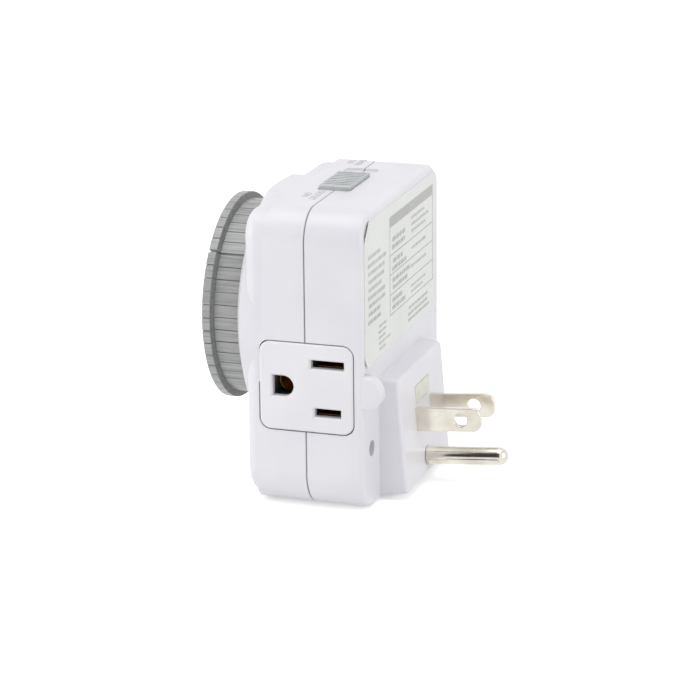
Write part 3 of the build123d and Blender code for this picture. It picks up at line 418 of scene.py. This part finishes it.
acetalLook = dict(caseLook, dark=(0.72, 0.70, 0.64), light=(0.80, 0.78, 0.72), smooth=0.3, rough=0.45)
blackLook = dict(caseLook, dark=(0.012, 0.012, 0.014), light=(0.025, 0.025, 0.028), smooth=0.4, rough=0.6)
labelLook = {
    "dark": (0.72, 0.74, 0.715), "light": (0.765, 0.785, 0.76), "cloudScale": 45,
    "smooth": 0.16, "rough": 0.28, "glossScale": 160, "grainScale": 900,
    "grainStrength": 0.05, "grainDepth": 0.02,
}
stickerLook = dict(labelLook, dark=(0.70, 0.72, 0.63), light=(0.77, 0.79, 0.70), smooth=0.35, rough=0.5,
                   cloudScale=300)
inkLook = dict(labelLook, dark=(0.20, 0.20, 0.20), light=(0.27, 0.27, 0.265), smooth=0.35, rough=0.5)
bandLook = dict(labelLook, dark=(0.41, 0.41, 0.40), light=(0.47, 0.47, 0.46), smooth=0.3, rough=0.45)
markLook = dict(inkLook, dark=(0.36, 0.37, 0.37), light=(0.46, 0.47, 0.46))
dashLook = dict(labelLook, dark=(0.42, 0.43, 0.415), light=(0.52, 0.53, 0.515), smooth=0.3, rough=0.45)
leadLook = dict(caseLook, dark=(0.6, 0.6, 0.56), light=(0.7, 0.7, 0.66), smooth=0.3, rough=0.4)
prongLook = {
    "dark": (0.75, 0.70, 0.61), "light": (0.89, 0.85, 0.76), "stainScale": 160,
    "smooth": 0.10, "rough": 0.24, "lineScale": 700, "lineStretch": (1, 0.06, 1),
    "lineStrength": 0.08, "lineDepth": 0.01,
}
pinLook = dict(prongLook, dark=(0.70, 0.65, 0.57), light=(0.88, 0.84, 0.76), smooth=0.10, rough=0.22)
brassLook = dict(prongLook, dark=(0.30, 0.15, 0.05), light=(0.52, 0.31, 0.12), smooth=0.25, rough=0.45)
steelLook = dict(prongLook, dark=(0.38, 0.38, 0.39), light=(0.52, 0.52, 0.53), smooth=0.28, rough=0.48)

casePlastic = plasticMaterial("casePlastic", caseLook)
shellPlastic = plasticMaterial("shellPlastic", shellLook)
outletPlastic = plasticMaterial("outletPlastic", outletLook)
tripperPlastic = plasticMaterial("tripperPlastic", tripperLook)
slopeShadePlastic = plasticMaterial("slopeShadePlastic", slopeShadeLook)
sliderPlastic = plasticMaterial("sliderPlastic", sliderLook)
wheelPlastic = plasticMaterial("wheelPlastic", wheelLook)
acetalPlastic = plasticMaterial("acetalPlastic", acetalLook)
blackPlastic = plasticMaterial("blackPlastic", blackLook)
labelFilm = plasticMaterial("labelFilm", labelLook)
stickerPaper = plasticMaterial("stickerPaper", stickerLook)
greyInk = plasticMaterial("greyInk", inkLook)
bandInk = plasticMaterial("bandInk", bandLook)
markInk = plasticMaterial("markInk", markLook)
dashInk = plasticMaterial("dashInk", dashLook)
leadSleeve = plasticMaterial("leadSleeve", leadLook)
prongNickel = metalMaterial("prongNickel", prongLook)
pinNickel = metalMaterial("pinNickel", pinLook)
contactBrass = metalMaterial("contactBrass", brassLook)
zincSteel = metalMaterial("zincSteel", steelLook)

finishes = {
    "front_shell": shellPlastic, "rear_shell": shellPlastic,
    "right_outlet_face": outletPlastic, "left_outlet_face": outletPlastic,
    "dial_wheel": wheelPlastic, "hour_ring": wheelPlastic, "centre_cap": casePlastic,
    "mode_slider": sliderPlastic, "other_trippers": tripperPlastic,
    "clutch_pinion": acetalPlastic, "reduction_wheel": acetalPlastic, "motor_pinion": acetalPlastic,
    "trip_lever": acetalPlastic, "movement_plate": acetalPlastic,
    "microswitch_case": blackPlastic, "microswitch_button": blackPlastic, "bypass_base": blackPlastic,
    "hot_blade": prongNickel, "neutral_blade": prongNickel, "ground_pin": pinNickel,
    "rating_label": labelFilm, "date_sticker": stickerPaper, "motor_leads": leadSleeve,
}
brassNodes = ("line_strip", "load_bus", "neutral_bus", "ground_bus", "bypass_terminals",
              "microswitch_terminals", "bridge_contact")
for name, node in nodes.items():
    if name.startswith("tripper_"):
        giveMaterial(node, tripperPlastic)
    elif name in brassNodes:
        giveMaterial(node, contactBrass)
    else:
        giveMaterial(node, finishes.get(name, zincSteel))  # screws, axles and the motor's can are steel
print("materials made:", len(bpy.data.materials))


softEdges = {
    "widths": {"right_outlet_face": 0.25, "left_outlet_face": 0.25, "centre_cap": 0.12},
    "weld": 0.001, "flatAngle": 1, "segments": 3, "edgeAngle": 40,
}
for name, width in softEdges["widths"].items():
    # the node's mesh stays as it is: three live modifiers weld it and round its edges
    weld = nodes[name].modifiers.new("weld", "WELD")
    weld.merge_threshold = softEdges["weld"] * mm
    flat = nodes[name].modifiers.new("flat", "DECIMATE")
    flat.decimate_type = "DISSOLVE"
    flat.angle_limit = math.radians(softEdges["flatAngle"])
    addBevel(nodes[name], width, softEdges["segments"], softEdges["edgeAngle"])
print("soft edges on", len(softEdges["widths"]), "nodes")


(_, ringFront, ringLow), (_, _, ringHigh) = inMm(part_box("hour_ring"))
dialZ = (ringLow + ringHigh) / 2

tripper = {
    "count": 48, "singles": 12, "phase": 5.55, "gap": 0.14,
    "inner": 24.7, "strip": 25.5, "lip": 27.13,  # distances from the dial's axis
    "back": -18.6, "slopeEnd": -27.0, "slopeStart": -27.7, "front": -29.8,  # places along the axis
    "slopeNormal": (0.3, 0.6),  # what a face's normal exceeds on the slope
    "lipCorner": 0.3, "edge": 0.07, "groove": 0.05, "grooveHalf": 0.12,
    # how far some of them lean in their slots, in degrees
    "lean": {0: -0.12, 1: -0.3, 2: -0.58, 3: -0.68, 4: -0.74, 5: 0.3, 6: 0.2, 7: 0.08,
             11: -0.08, 40: 0.07, 43: -0.06},
}


def makeStrip(half):
    # the flat strip that slides in the wheel's slot, with two grooves along it
    strip = boxPiece("strip", (tripper["inner"], tripper["slopeEnd"], -half),
                     (tripper["strip"], tripper["back"], half))
    middle, reach = half / 2, tripper["grooveHalf"]
    cutAcross(strip, [side * middle + edge * reach for side in (-1, 1) for edge in (-1, 1)], (0, 0, 1))
    selectFaces(strip, lambda c, n: n.x > along and abs(abs(c.z) - middle) < reach)
    pushSelected(x=-tripper["groove"])
    endEdit()
    roundEdges(strip, tripper["edge"], segments=1)
    return strip


def makeLip(half, outerHalf):
    # the lip that the finger presses: wider outwards, and sloping down to the strip
    lip = boxPiece("lip", (tripper["inner"], tripper["front"], -half),
                   (tripper["lip"], tripper["slopeStart"], half))
    selectFaces(lip, lambda c, n: n.x > along)
    scaleSelected((1, 1, outerHalf / half), (0, 0, 0))
    endEdit()
    selectFaces(lip, lambda c, n: n.y > along)
    pushSelected(y=tripper["slopeEnd"] - tripper["slopeStart"])
    thin = (tripper["strip"] - tripper["inner"]) / (tripper["lip"] - tripper["inner"])
    scaleSelected((thin, 1, 1), (tripper["inner"], 0, 0))
    endEdit()
    selectEdges(lip, lambda c, d: c.x > tripper["strip"] and abs(d.y) > along)
    bevelSelected(tripper["lipCorner"], segments=2)
    endEdit()
    roundEdges(lip, tripper["edge"], segments=2)
    return lip


def makeTripper():
    # modelled at three o'clock of the dial
    slope = math.tan(math.pi / tripper["count"])
    innerHalf = tripper["inner"] * slope - tripper["gap"] / 2
    outerHalf = tripper["lip"] * slope - tripper["gap"] / 2
    whole = joinPieces([makeStrip(innerHalf), makeLip(innerHalf, outerHalf)], "tripperModel")
    smoothPiece(whole)
    whole.data.materials.append(tripperPlastic)
    whole.data.materials.append(slopeShadePlastic)
    # the sloping faces behind the lip take the darker copy of the plastic: painted shade
    outwards, backwards = tripper["slopeNormal"]
    for face in whole.data.polygons:
        sloping = face.normal.x > outwards and face.normal.y > backwards
        face.material_index = int(sloping and face.center.y / mm < tripper["slopeEnd"] + near)
    return whole


def dialTurn(angle):
    return place(0, 0, dialZ) @ turn(-angle, "Y")


def makeTrippers():
    model = makeTripper()
    joined = []
    for number in range(tripper["count"]):
        angle = tripper["phase"] + number * 360 / tripper["count"] + tripper["lean"].get(number, 0)
        piece = copyPiece(model, f"tripper_piece_{number + 1:02d}", dialTurn(angle))
        if number < tripper["singles"]:
            node = f"tripper_{number + 1:02d}"
            finish(piece, None, node, "tripper_plastic", node)
        else:
            joined.append(piece)
    bpy.data.objects.remove(model)
    finish(joinPieces(joined, "other_tripper_pieces"), None, "dial", "tripper_plastic", "other_trippers")


makeTrippers()
print("trippers made:", tripper["count"])


dialFace = {
    "print": 0.03, "hours": 24, "hourRadius": 18.9, "hourHeight": 2.5,
    "halves": (("AM", -90), ("PM", 90)), "halfRadius": 15.2, "halfHeight": 1.7,
    "ticks": 96, "tickIn": 21.0, "tickOut": 22.1, "tickWide": 0.22, "hourTickWide": 0.4,
    "arrowTip": 10.4, "arrowRoot": 6.4, "arrowHalf": 2.0, "arrowPrint": 0.03,
    "arrowPoint": 0.04, "arrowInset": 0.9,
}


def faceMatrix(radius, angle):
    # lies on the dial's front with its top outwards, turned round the dial from twelve o'clock
    return dialTurn(90 - angle) @ place(radius, ringFront, 0) @ turn(90, "X") @ turn(-90, "Z")


def makeMarks():
    # a ring of ticks, wider at the hours, the hours themselves and the halves of the day
    tick = boxPiece("tickModel", (dialFace["tickIn"], -dialFace["print"], -dialFace["tickWide"] / 2),
                    (dialFace["tickOut"], 0, dialFace["tickWide"] / 2))
    roundEdges(tick, dialFace["print"] / 3, segments=1)
    marks = []
    hourTick = dialFace["ticks"] // dialFace["hours"]
    for number in range(dialFace["ticks"]):
        onHour = number % hourTick == 0
        grown = Matrix.Diagonal((1, 1, dialFace["hourTickWide"] / dialFace["tickWide"] if onHour else 1, 1))
        spot = dialTurn(number * 360 / dialFace["ticks"]) @ place(0, ringFront, 0)
        marks.append(copyPiece(tick, "tick", spot @ grown))
    bpy.data.objects.remove(tick)
    for hour in range(dialFace["hours"]):
        words = str((hour - 1) % (dialFace["hours"] // 2) + 1)
        matrix = faceMatrix(dialFace["hourRadius"], -hour * 360 / dialFace["hours"])
        marks.append(textPiece("hour", words, dialFace["hourHeight"], matrix, 2 * dialFace["print"]))
    for words, angle in dialFace["halves"]:
        matrix = faceMatrix(dialFace["halfRadius"], angle)
        marks.append(textPiece("half", words, dialFace["halfHeight"], matrix, 2 * dialFace["print"]))
    return joinPieces(marks, "hour_marks")


def makeArrow():
    # the time arrow on the cap, drawn out to a point and with a tail
    half, thick, front = dialFace["arrowHalf"], dialFace["arrowPrint"], inMm(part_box("centre_cap"))[0][1]
    arrow = boxPiece("cap_arrow", (-half, front - thick, dialFace["arrowRoot"]),
                     (half, front + thick, dialFace["arrowTip"]))
    selectFaces(arrow, lambda c, n: n.z > along)
    scaleSelected((dialFace["arrowPoint"], 1, 1), (0, 0, 0))
    endEdit()
    selectFaces(arrow, lambda c, n: n.z < -along)
    insetSelected(dialFace["arrowInset"])
    pushSelected(z=-dialFace["arrowRoot"] / 2)
    endEdit()
    arrow.data.transform(place(0, 0, dialZ))
    roundEdges(arrow, thick / 2, segments=1)
    return arrow


finish(makeMarks(), greyInk, "dial", "dial_plastic")
finish(makeArrow(), greyInk, "case", "case_plastic")
print("dial marked")


plug = {
    # where the middle between the blades lies on the block's face, and how far the face leans back;
    # all else is measured from there, along and across the prongs
    "faceY": 21.34, "lineZ": 18.37, "tilt": 4.46, "halfPitch": 6.35, "edge": 0.2,
    "thick": 1.5, "width": 6.3, "length": 17.3, "inside": 14.0, "tipRadius": 2.1, "tipSteps": 8,
    "holeAt": 11.9, "holeRadius": 1.8, "drillHalf": 3, "holeSteps": 64,
    "pinRadius": 2.39, "shankRadius": 1.9, "pinLength": 21.9, "pinDrop": 11.9, "pinNeck": 0.15,
    "pinSides": 64, "pinFlat": 0.06, "pinSteps": 10,
    "seamAt": -14, "seamWithin": 3, "seamInset": 0.03, "seamDepth": 0.12,
}


def plugMatrix():
    # from upright prongs round the origin to their place in the leaning block
    return place(0, plug["faceY"], plug["lineZ"]) @ turn(plug["tilt"], "X")


def innerEnd(box):
    # where a prong ends inside the case
    return inMm(box)[0][1]


def makeBlade(name, side, innerY):
    # a flat prong with round corners and a hole
    half, wide, x = plug["thick"] / 2, plug["width"] / 2, side * plug["halfPitch"]
    blade = boxPiece(name, (x - half, -plug["inside"], -wide), (x + half, plug["length"], wide))
    selectEdges(blade, lambda c, d: abs(d.x) > along and c.y > 0)
    bevelSelected(plug["tipRadius"], plug["tipSteps"])
    endEdit()
    ends = [(x + way * plug["drillHalf"], plug["holeAt"], 0) for way in (-1, 1)]
    cutWith(blade, rodPiece("drill", plug["holeRadius"], *ends, plug["holeSteps"]))
    roundEdges(blade, plug["edge"], segments=3)
    blade.data.transform(plugMatrix())
    cutOff(blade, (0, innerY, 0), (0, 1, 0))
    smoothPiece(blade, angle=40)
    return blade


def makeGroundPin():
    # a round prong with a dome, the seam of its rolled sheet and a thinner shank
    radius, drop, seam = plug["pinRadius"], plug["pinDrop"], math.radians(plug["seamAt"])
    pin = rodPiece("ground_pin_piece", radius, (0, plug["pinNeck"], -drop), (0, plug["pinLength"], -drop),
                   plug["pinSides"])
    selectFaces(pin, lambda c, n: n.y > along)
    bevelSelected(radius - plug["pinFlat"], plug["pinSteps"])
    endEdit()
    within = math.radians(plug["seamWithin"])
    selectFaces(pin, lambda c, n: abs(math.atan2(n.z, n.x) - seam) < within and abs(n.y) < 1 - along)
    insetSelected(plug["seamInset"])
    pushSelected(x=-plug["seamDepth"] * math.cos(seam), z=-plug["seamDepth"] * math.sin(seam))
    endEdit()
    selectFaces(pin, lambda c, n: n.y < -along)
    insetSelected(radius - plug["shankRadius"])
    pushSelected(y=-plug["inside"])
    endEdit()
    roundEdges(pin, plug["edge"] / 2, segments=2, angle=50)
    pin.data.transform(plugMatrix())
    cutOff(pin, (0, innerEnd(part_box("ground_pin")), 0), (0, 1, 0))
    smoothPiece(pin)
    return pin


hotBlade = makeBlade("hot_blade_piece", 1, innerEnd(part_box("hot_blade")))
neutralBlade = makeBlade("neutral_blade_piece", -1, innerEnd(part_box("neutral_blade")))
finish(hotBlade, prongNickel, "case", "prong_metal", "hot_blade")
finish(neutralBlade, prongNickel, "case", "prong_metal", "neutral_blade")
finish(makeGroundPin(), pinNickel, "case", "prong_metal", "ground_pin")
print("plug made")


slider = {
    "height": 1.5, "slope": 0.8, "shoulder": 0.22, "edge": 0.1,
    "pitch": 1.8, "grooves": 8, "depth": 0.45, "border": 0.35,
    "stemLength": 3.2, "stemWidth": 3.0, "stemInto": 0.3,
}
(sliderLeft, sliderFront, sliderFoot), (sliderRight, sliderBack, sliderTop) = inMm(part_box("mode_slider"))
sliderBase = sliderTop - slider["height"]
sliderX, sliderY = (sliderLeft + sliderRight) / 2, (sliderFront + sliderBack) / 2


def makeKnob():
    # a low block with sloping ends and a row of grooves across its top
    x, y = sliderX, sliderY
    half, side = (sliderRight - sliderLeft) / 2, (sliderBack - sliderFront) / 2
    knob = boxPiece("slider_piece", (x - half, y - side, sliderBase), (x + half, y + side, sliderTop))
    cutAcross(knob, (x - half + slider["slope"], x + half - slider["slope"]), (1, 0, 0))
    high, outer = sliderTop - near, half - near
    selectEdges(knob, lambda c, d: abs(d.y) > along and c.z > high and abs(c.x - x) > outer)
    moveSelected(z=-slider["shoulder"])
    endEdit()
    middles = [x + (i - (slider["grooves"] - 1) / 2) * slider["pitch"] for i in range(slider["grooves"])]
    cutAcross(knob, [m + e * slider["pitch"] / 4 for m in middles for e in (-1, 1)], (1, 0, 0))
    inner = side - slider["border"]
    cutAcross(knob, (y - inner, y + inner), (0, 1, 0))

    def inGroove(c, n):
        return n.z > along and abs(c.y - y) < inner and any(abs(c.x - m) < near for m in middles)

    selectFaces(knob, inGroove)
    pushSelected(z=-slider["depth"])
    endEdit()
    roundEdges(knob, slider["edge"], segments=2)
    smoothPiece(knob)
    return knob


def makeStem():
    # reaches down through the slot in the case
    reach, wide = slider["stemLength"] / 2, slider["stemWidth"] / 2
    stem = boxPiece("stem", (sliderX - reach, sliderY - wide, sliderFoot),
                    (sliderX + reach, sliderY + wide, sliderBase + slider["stemInto"]))
    roundEdges(stem, slider["edge"], segments=2)
    return stem


button = joinPieces([makeKnob(), makeStem()], "slider_piece")
finish(button, sliderPlastic, "slide_switch", "switch_plastic", "mode_slider")
print("slider made")


switchMarks = {
    "print": 0.02, "height": 2.6,
    "words": (("OUTLET\nON", 14.6, -4.0), ("TIMER\nON", -23.2, -4.6)),
}


def makeSwitchMarks():
    # words on the top of the case, one at each end of the slide
    top = inMm(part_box("rear_shell"))[1][2]
    marks = []
    for words, x, y in switchMarks["words"]:
        spot = place(x, y, top)
        marks.append(textPiece("mark", words, switchMarks["height"], spot, 2 * switchMarks["print"]))
    return joinPieces(marks, "switch_marks")


finish(makeSwitchMarks(), markInk, "case", "case_plastic")
print("switch marked")


label = {
    "cornerSteps": 6, "step": 0.5, "lifted": 7.0, "curl": 1.5, "ink": 0.02, "inkEdge": 0.005,
    # the radius of two corners, how far the lift of the right one reaches along X and along Z,
    # and how far its tip stands off
    "upper": (3.6, 4.5, 5.5, 1.5), "lower": (1.4, 7.5, 3.0, 1.0),
}
(labelLeft, labelBack, labelLow), (labelRight, labelFront, labelHigh) = inMm(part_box("rating_label"))


def makeLabel():
    # a sheet with round corners, whose right corners come off the case
    sheet = boxPiece("label_piece", (labelLeft, labelBack, labelLow), (labelRight, labelFront, labelHigh))
    ends = ((labelHigh, *label["upper"]), (labelLow, *label["lower"]))
    for z, radius, *_ in ends:
        selectEdges(sheet, lambda c, d: abs(d.y) > along and abs(c.z - z) < near)
        bevelSelected(radius, label["cornerSteps"])
        endEdit()
    steps = [label["step"] * (i + 1) for i in range(int(label["lifted"] / label["step"]))]
    cutAcross(sheet, [labelRight - s for s in steps], (1, 0, 0))
    cutAcross(sheet, [labelHigh - s for s in steps] + [labelLow + s for s in steps], (0, 0, 1))
    for point in sheet.data.vertices:
        for z, _, alongX, alongZ, amount in ends:
            awayX, awayZ = abs(point.co.x / mm - labelRight), abs(point.co.z / mm - z)
            part = 1 - awayX / alongX - awayZ / alongZ
            if part > 0:
                point.co.y += amount * part ** label["curl"] * mm
    smoothPiece(sheet, angle=25)
    return sheet


def printPiece(name, areas):
    # thin printed areas on the label, each (left, right, low, high) in millimetres
    model = boxPiece("inkModel", (0, labelFront, 0), (1, labelFront + label["ink"], 1))
    roundEdges(model, label["inkEdge"], segments=1)
    printed = []
    for left, right, low, high in areas:
        grown = Matrix.Diagonal((right - left, 1, high - low, 1))
        printed.append(copyPiece(model, "ink", place(left, 0, low) @ grown))
    bpy.data.objects.remove(model)
    return joinPieces(printed, name)


table = {
    "right": 10.4, "left": -27.2, "top": 72.8, "line": 0.16, "rows": (70.0, 62.5, 57.4, 52.1, 46.8),
    # blocks of plain dashes: x from, x to, highest row, rows, row step, dash height
    "blocks": (
        (8.6, -4.5, 67.0, 2, 2.0, 1.15), (-7.5, -23.6, 68.6, 3, 1.8, 0.75), (8.6, -4.5, 61.2, 2, 1.95, 1.1),
        (-7.5, -24.0, 60.4, 1, 1.6, 0.7), (8.6, -4.5, 56.2, 2, 1.95, 1.1), (-7.5, -22.0, 55.6, 1, 1.6, 0.7),
        (8.6, -4.5, 50.9, 2, 1.95, 1.1), (-7.5, -20.0, 50.2, 2, 1.5, 0.65), (28.8, 14.0, 67.0, 9, 2.1, 1.0),
        (20.5, 11.5, 46.8, 5, 1.5, 0.6), (-5.0, -24.5, 44.8, 3, 1.6, 0.8)),
    "dash": (0.9, 3.2), "space": 0.5, "raggedStart": 1, "raggedEnd": 0.35, "seed": 11,
}


def tableLines():
    # thin lines under the rows and down both sides
    thin, low, top = table["line"], table["rows"][-1], table["top"]
    lines = [(table["left"], table["right"], row, row + thin) for row in table["rows"][1:]]
    lines.append((table["right"] - thin, table["right"], low, top))
    lines.append((table["left"], table["left"] + thin, low, top))
    return lines


def tableDashes():
    # rows of dashes of uneven length, from one side of each block to the other
    chance = random.Random(table["seed"])
    dashes = []
    for start, end, high, rows, step, height in table["blocks"]:
        for row in range(rows):
            x = start - chance.uniform(0, table["raggedStart"])
            last = end + chance.uniform(0, (start - end) * table["raggedEnd"])
            while x > last:
                length = chance.uniform(*table["dash"])
                dashes.append((x - length, x, high - row * step - height, high - row * step))
                x -= length + table["space"]
    return dashes


tableBand = (table["left"], table["right"], table["rows"][0], table["top"])
finish(makeLabel(), labelFilm, "case", "label_sheet", "rating_label")
finish(printPiece("label_lines", tableLines()), greyInk, "case", "label_sheet")
finish(printPiece("label_band", [tableBand]), bandInk, "case", "label_sheet")
finish(printPiece("label_dashes", tableDashes()), dashInk, "case", "label_sheet")
print("label made")


sticker = {"z": 6.3, "width": 12.0, "height": 4.4, "thick": 0.06, "corner": 0.4, "cornerSteps": 3}


def makeSticker():
    # a small blank sticker on the block's face, above the blades
    (left, *_), (right, *_) = inMm(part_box("date_sticker"))
    half, tall = sticker["width"] / 2, sticker["height"] / 2
    paper = boxPiece("sticker_piece", (-half, 0, sticker["z"] - tall),
                     (half, sticker["thick"], sticker["z"] + tall))
    selectEdges(paper, lambda c, d: abs(d.y) > along)
    bevelSelected(sticker["corner"], sticker["cornerSteps"])
    endEdit()
    paper.data.transform(plugMatrix() @ place((left + right) / 2, 0, 0))
    return paper


finish(makeSticker(), stickerPaper, "case", "label_sheet", "date_sticker")
print("sticker made")


# the camera and the studio are in metres and degrees
view = {
    "place": (0.71446, 0.23939, 0.26127), "azimuth": 18.45, "elevation": 16.83, "roll": -0.56,
    "lens": 154.3, "sensor": 36, "clip": (0.01, 20),
}
studio = {
    "world": 0.595,
    "floor": {"size": 12, "drop": 0.0002, "tone": 0.95, "glow": 0.4, "rough": 0.9},
    # a dark cloth that only gloss and metal see
    "cloth": {"place": (1.05, -0.40, 0.75), "width": 1.8, "height": 1.5,
              "tone": 0.06, "deep": 0.8, "weave": 300, "weaveDetail": 3, "rough": 1.0},
    "aim": (0, 0, 0.04),  # where a lamp points that has no aim of its own
}
lamps = {
    "keyLamp": {"place": (0.1, 0.0, 0.8), "size": 0.6, "power": 2.25},
    "sideLamp": {"place": (0.75, -0.45, 0.25), "size": 0.6, "power": 0.3, "mirrored": False},
    "backLamp": {"place": (0.15, 0.85, 0.3), "size": 0.6, "power": 1.7},
    "lowLamp": {"place": (0.22, -0.28, 0.03), "size": 0.18, "power": 0.2},
    # lights the floor in front of the dial, which lights the dial from below
    "paperLamp": {"place": (0.10, -0.12, 0.10), "aim": (0.07, -0.08, 0), "size": 0.08, "power": 0.035},
}


def addCamera():
    bpy.ops.object.camera_add()
    camera = bpy.context.object
    camera.name = "viewCamera"
    facing = turn(view["azimuth"] + 90, "Z") @ turn(90 - view["elevation"], "X") @ turn(view["roll"], "Z")
    camera.matrix_world = Matrix.Translation(view["place"]) @ facing
    camera.data.sensor_width = view["sensor"]
    camera.data.lens = view["lens"]
    camera.data.clip_start, camera.data.clip_end = view["clip"]
    bpy.context.scene.camera = camera


def addLamp(name, setting):
    clearSelection()
    bpy.ops.object.light_add(type="AREA", location=setting["place"])
    lamp = bpy.context.object
    lamp.name = name
    lamp.data.energy = setting["power"]
    lamp.data.size = setting["size"]
    aim = Vector(setting.get("aim", studio["aim"]))
    lamp.rotation_euler = (aim - Vector(setting["place"])).to_track_quat("-Z", "Y").to_euler()
    lamp.visible_camera = False
    lamp.visible_glossy = setting.get("mirrored", True)


def addFloor():
    look = studio["floor"]
    clearSelection()
    bpy.ops.mesh.primitive_plane_add(size=look["size"], location=(0, 0, -look["drop"]))
    floor = bpy.context.object
    floor.name = "floor"
    material, graph = newMaterial("floorPaper")
    paper = graph.nodes["Principled BSDF"]
    paper.inputs["Base Color"].default_value = (look["tone"], look["tone"], look["tone"], 1)
    paper.inputs["Roughness"].default_value = look["rough"]
    paper.inputs["Specular IOR Level"].default_value = 0.0
    path = graph.nodes.new("ShaderNodeLightPath")
    # the camera sees the paper with a little glow of its own
    glow = graph.nodes.new("ShaderNodeEmission")
    strength = addMath(graph, "MULTIPLY", path.outputs["Is Camera Ray"], look["glow"])
    feed(graph, strength, glow.inputs["Strength"])
    both = graph.nodes.new("ShaderNodeAddShader")
    feed(graph, paper.outputs["BSDF"], both.inputs[0])
    feed(graph, glow.outputs["Emission"], both.inputs[1])
    # a mirror or glass sees it as plain white
    white = graph.nodes.new("ShaderNodeEmission")
    mirrored = addMath(graph, "MAXIMUM", path.outputs["Is Glossy Ray"], path.outputs["Is Transmission Ray"])
    mix = graph.nodes.new("ShaderNodeMixShader")
    feed(graph, mirrored, mix.inputs["Fac"])
    feed(graph, both.outputs["Shader"], mix.inputs[1])
    feed(graph, white.outputs["Emission"], mix.inputs[2])
    feed(graph, mix.outputs["Shader"], graph.nodes["Material Output"].inputs["Surface"])
    floor.data.materials.append(material)


def addCloth():
    look = studio["cloth"]
    clearSelection()
    toObject = Vector((-look["place"][0], -look["place"][1], 0)).to_track_quat("Z", "Y").to_euler()
    bpy.ops.mesh.primitive_plane_add(size=1, location=look["place"], rotation=toObject)
    sheet = bpy.context.object
    sheet.scale = (look["width"], look["height"], 1)
    keepPlace("dark_cloth")
    for seen in ("visible_camera", "visible_diffuse", "visible_shadow", "visible_transmission"):
        setattr(sheet, seen, False)
    material, graph = newMaterial("darkCloth")
    shader = graph.nodes["Principled BSDF"]
    where = graph.nodes.new("ShaderNodeTexCoord").outputs["Object"]
    weave = addNoise(graph, where, look["weave"], look["weaveDetail"])
    tone = addRamp(graph, weave, [look["tone"] * look["deep"]] * 3, [look["tone"]] * 3)
    feed(graph, tone, shader.inputs["Base Color"])
    shader.inputs["Roughness"].default_value = look["rough"]
    giveMaterial(sheet, material)


def addWorld():
    # white where the camera, a mirror or glass looks, and a plain level for the light on the object
    world = bpy.data.worlds.new("studio")
    bpy.context.scene.world = world
    world.use_nodes = True
    graph = world.node_tree
    background = graph.nodes["Background"]
    path = graph.nodes.new("ShaderNodeLightPath")
    seen = addMath(graph, "MAXIMUM", path.outputs["Is Camera Ray"], path.outputs["Is Glossy Ray"])
    seen = addMath(graph, "MAXIMUM", seen, path.outputs["Is Transmission Ray"])
    background.inputs["Color"].default_value = (1, 1, 1, 1)
    feed(graph, addRange(graph, seen, studio["world"], 1.0), background.inputs["Strength"])


addCamera()
addWorld()
addFloor()
addCloth()
for name, setting in lamps.items():
    addLamp(name, setting)
bpy.context.scene.view_settings.view_transform = "Standard"
print("camera and light placed")
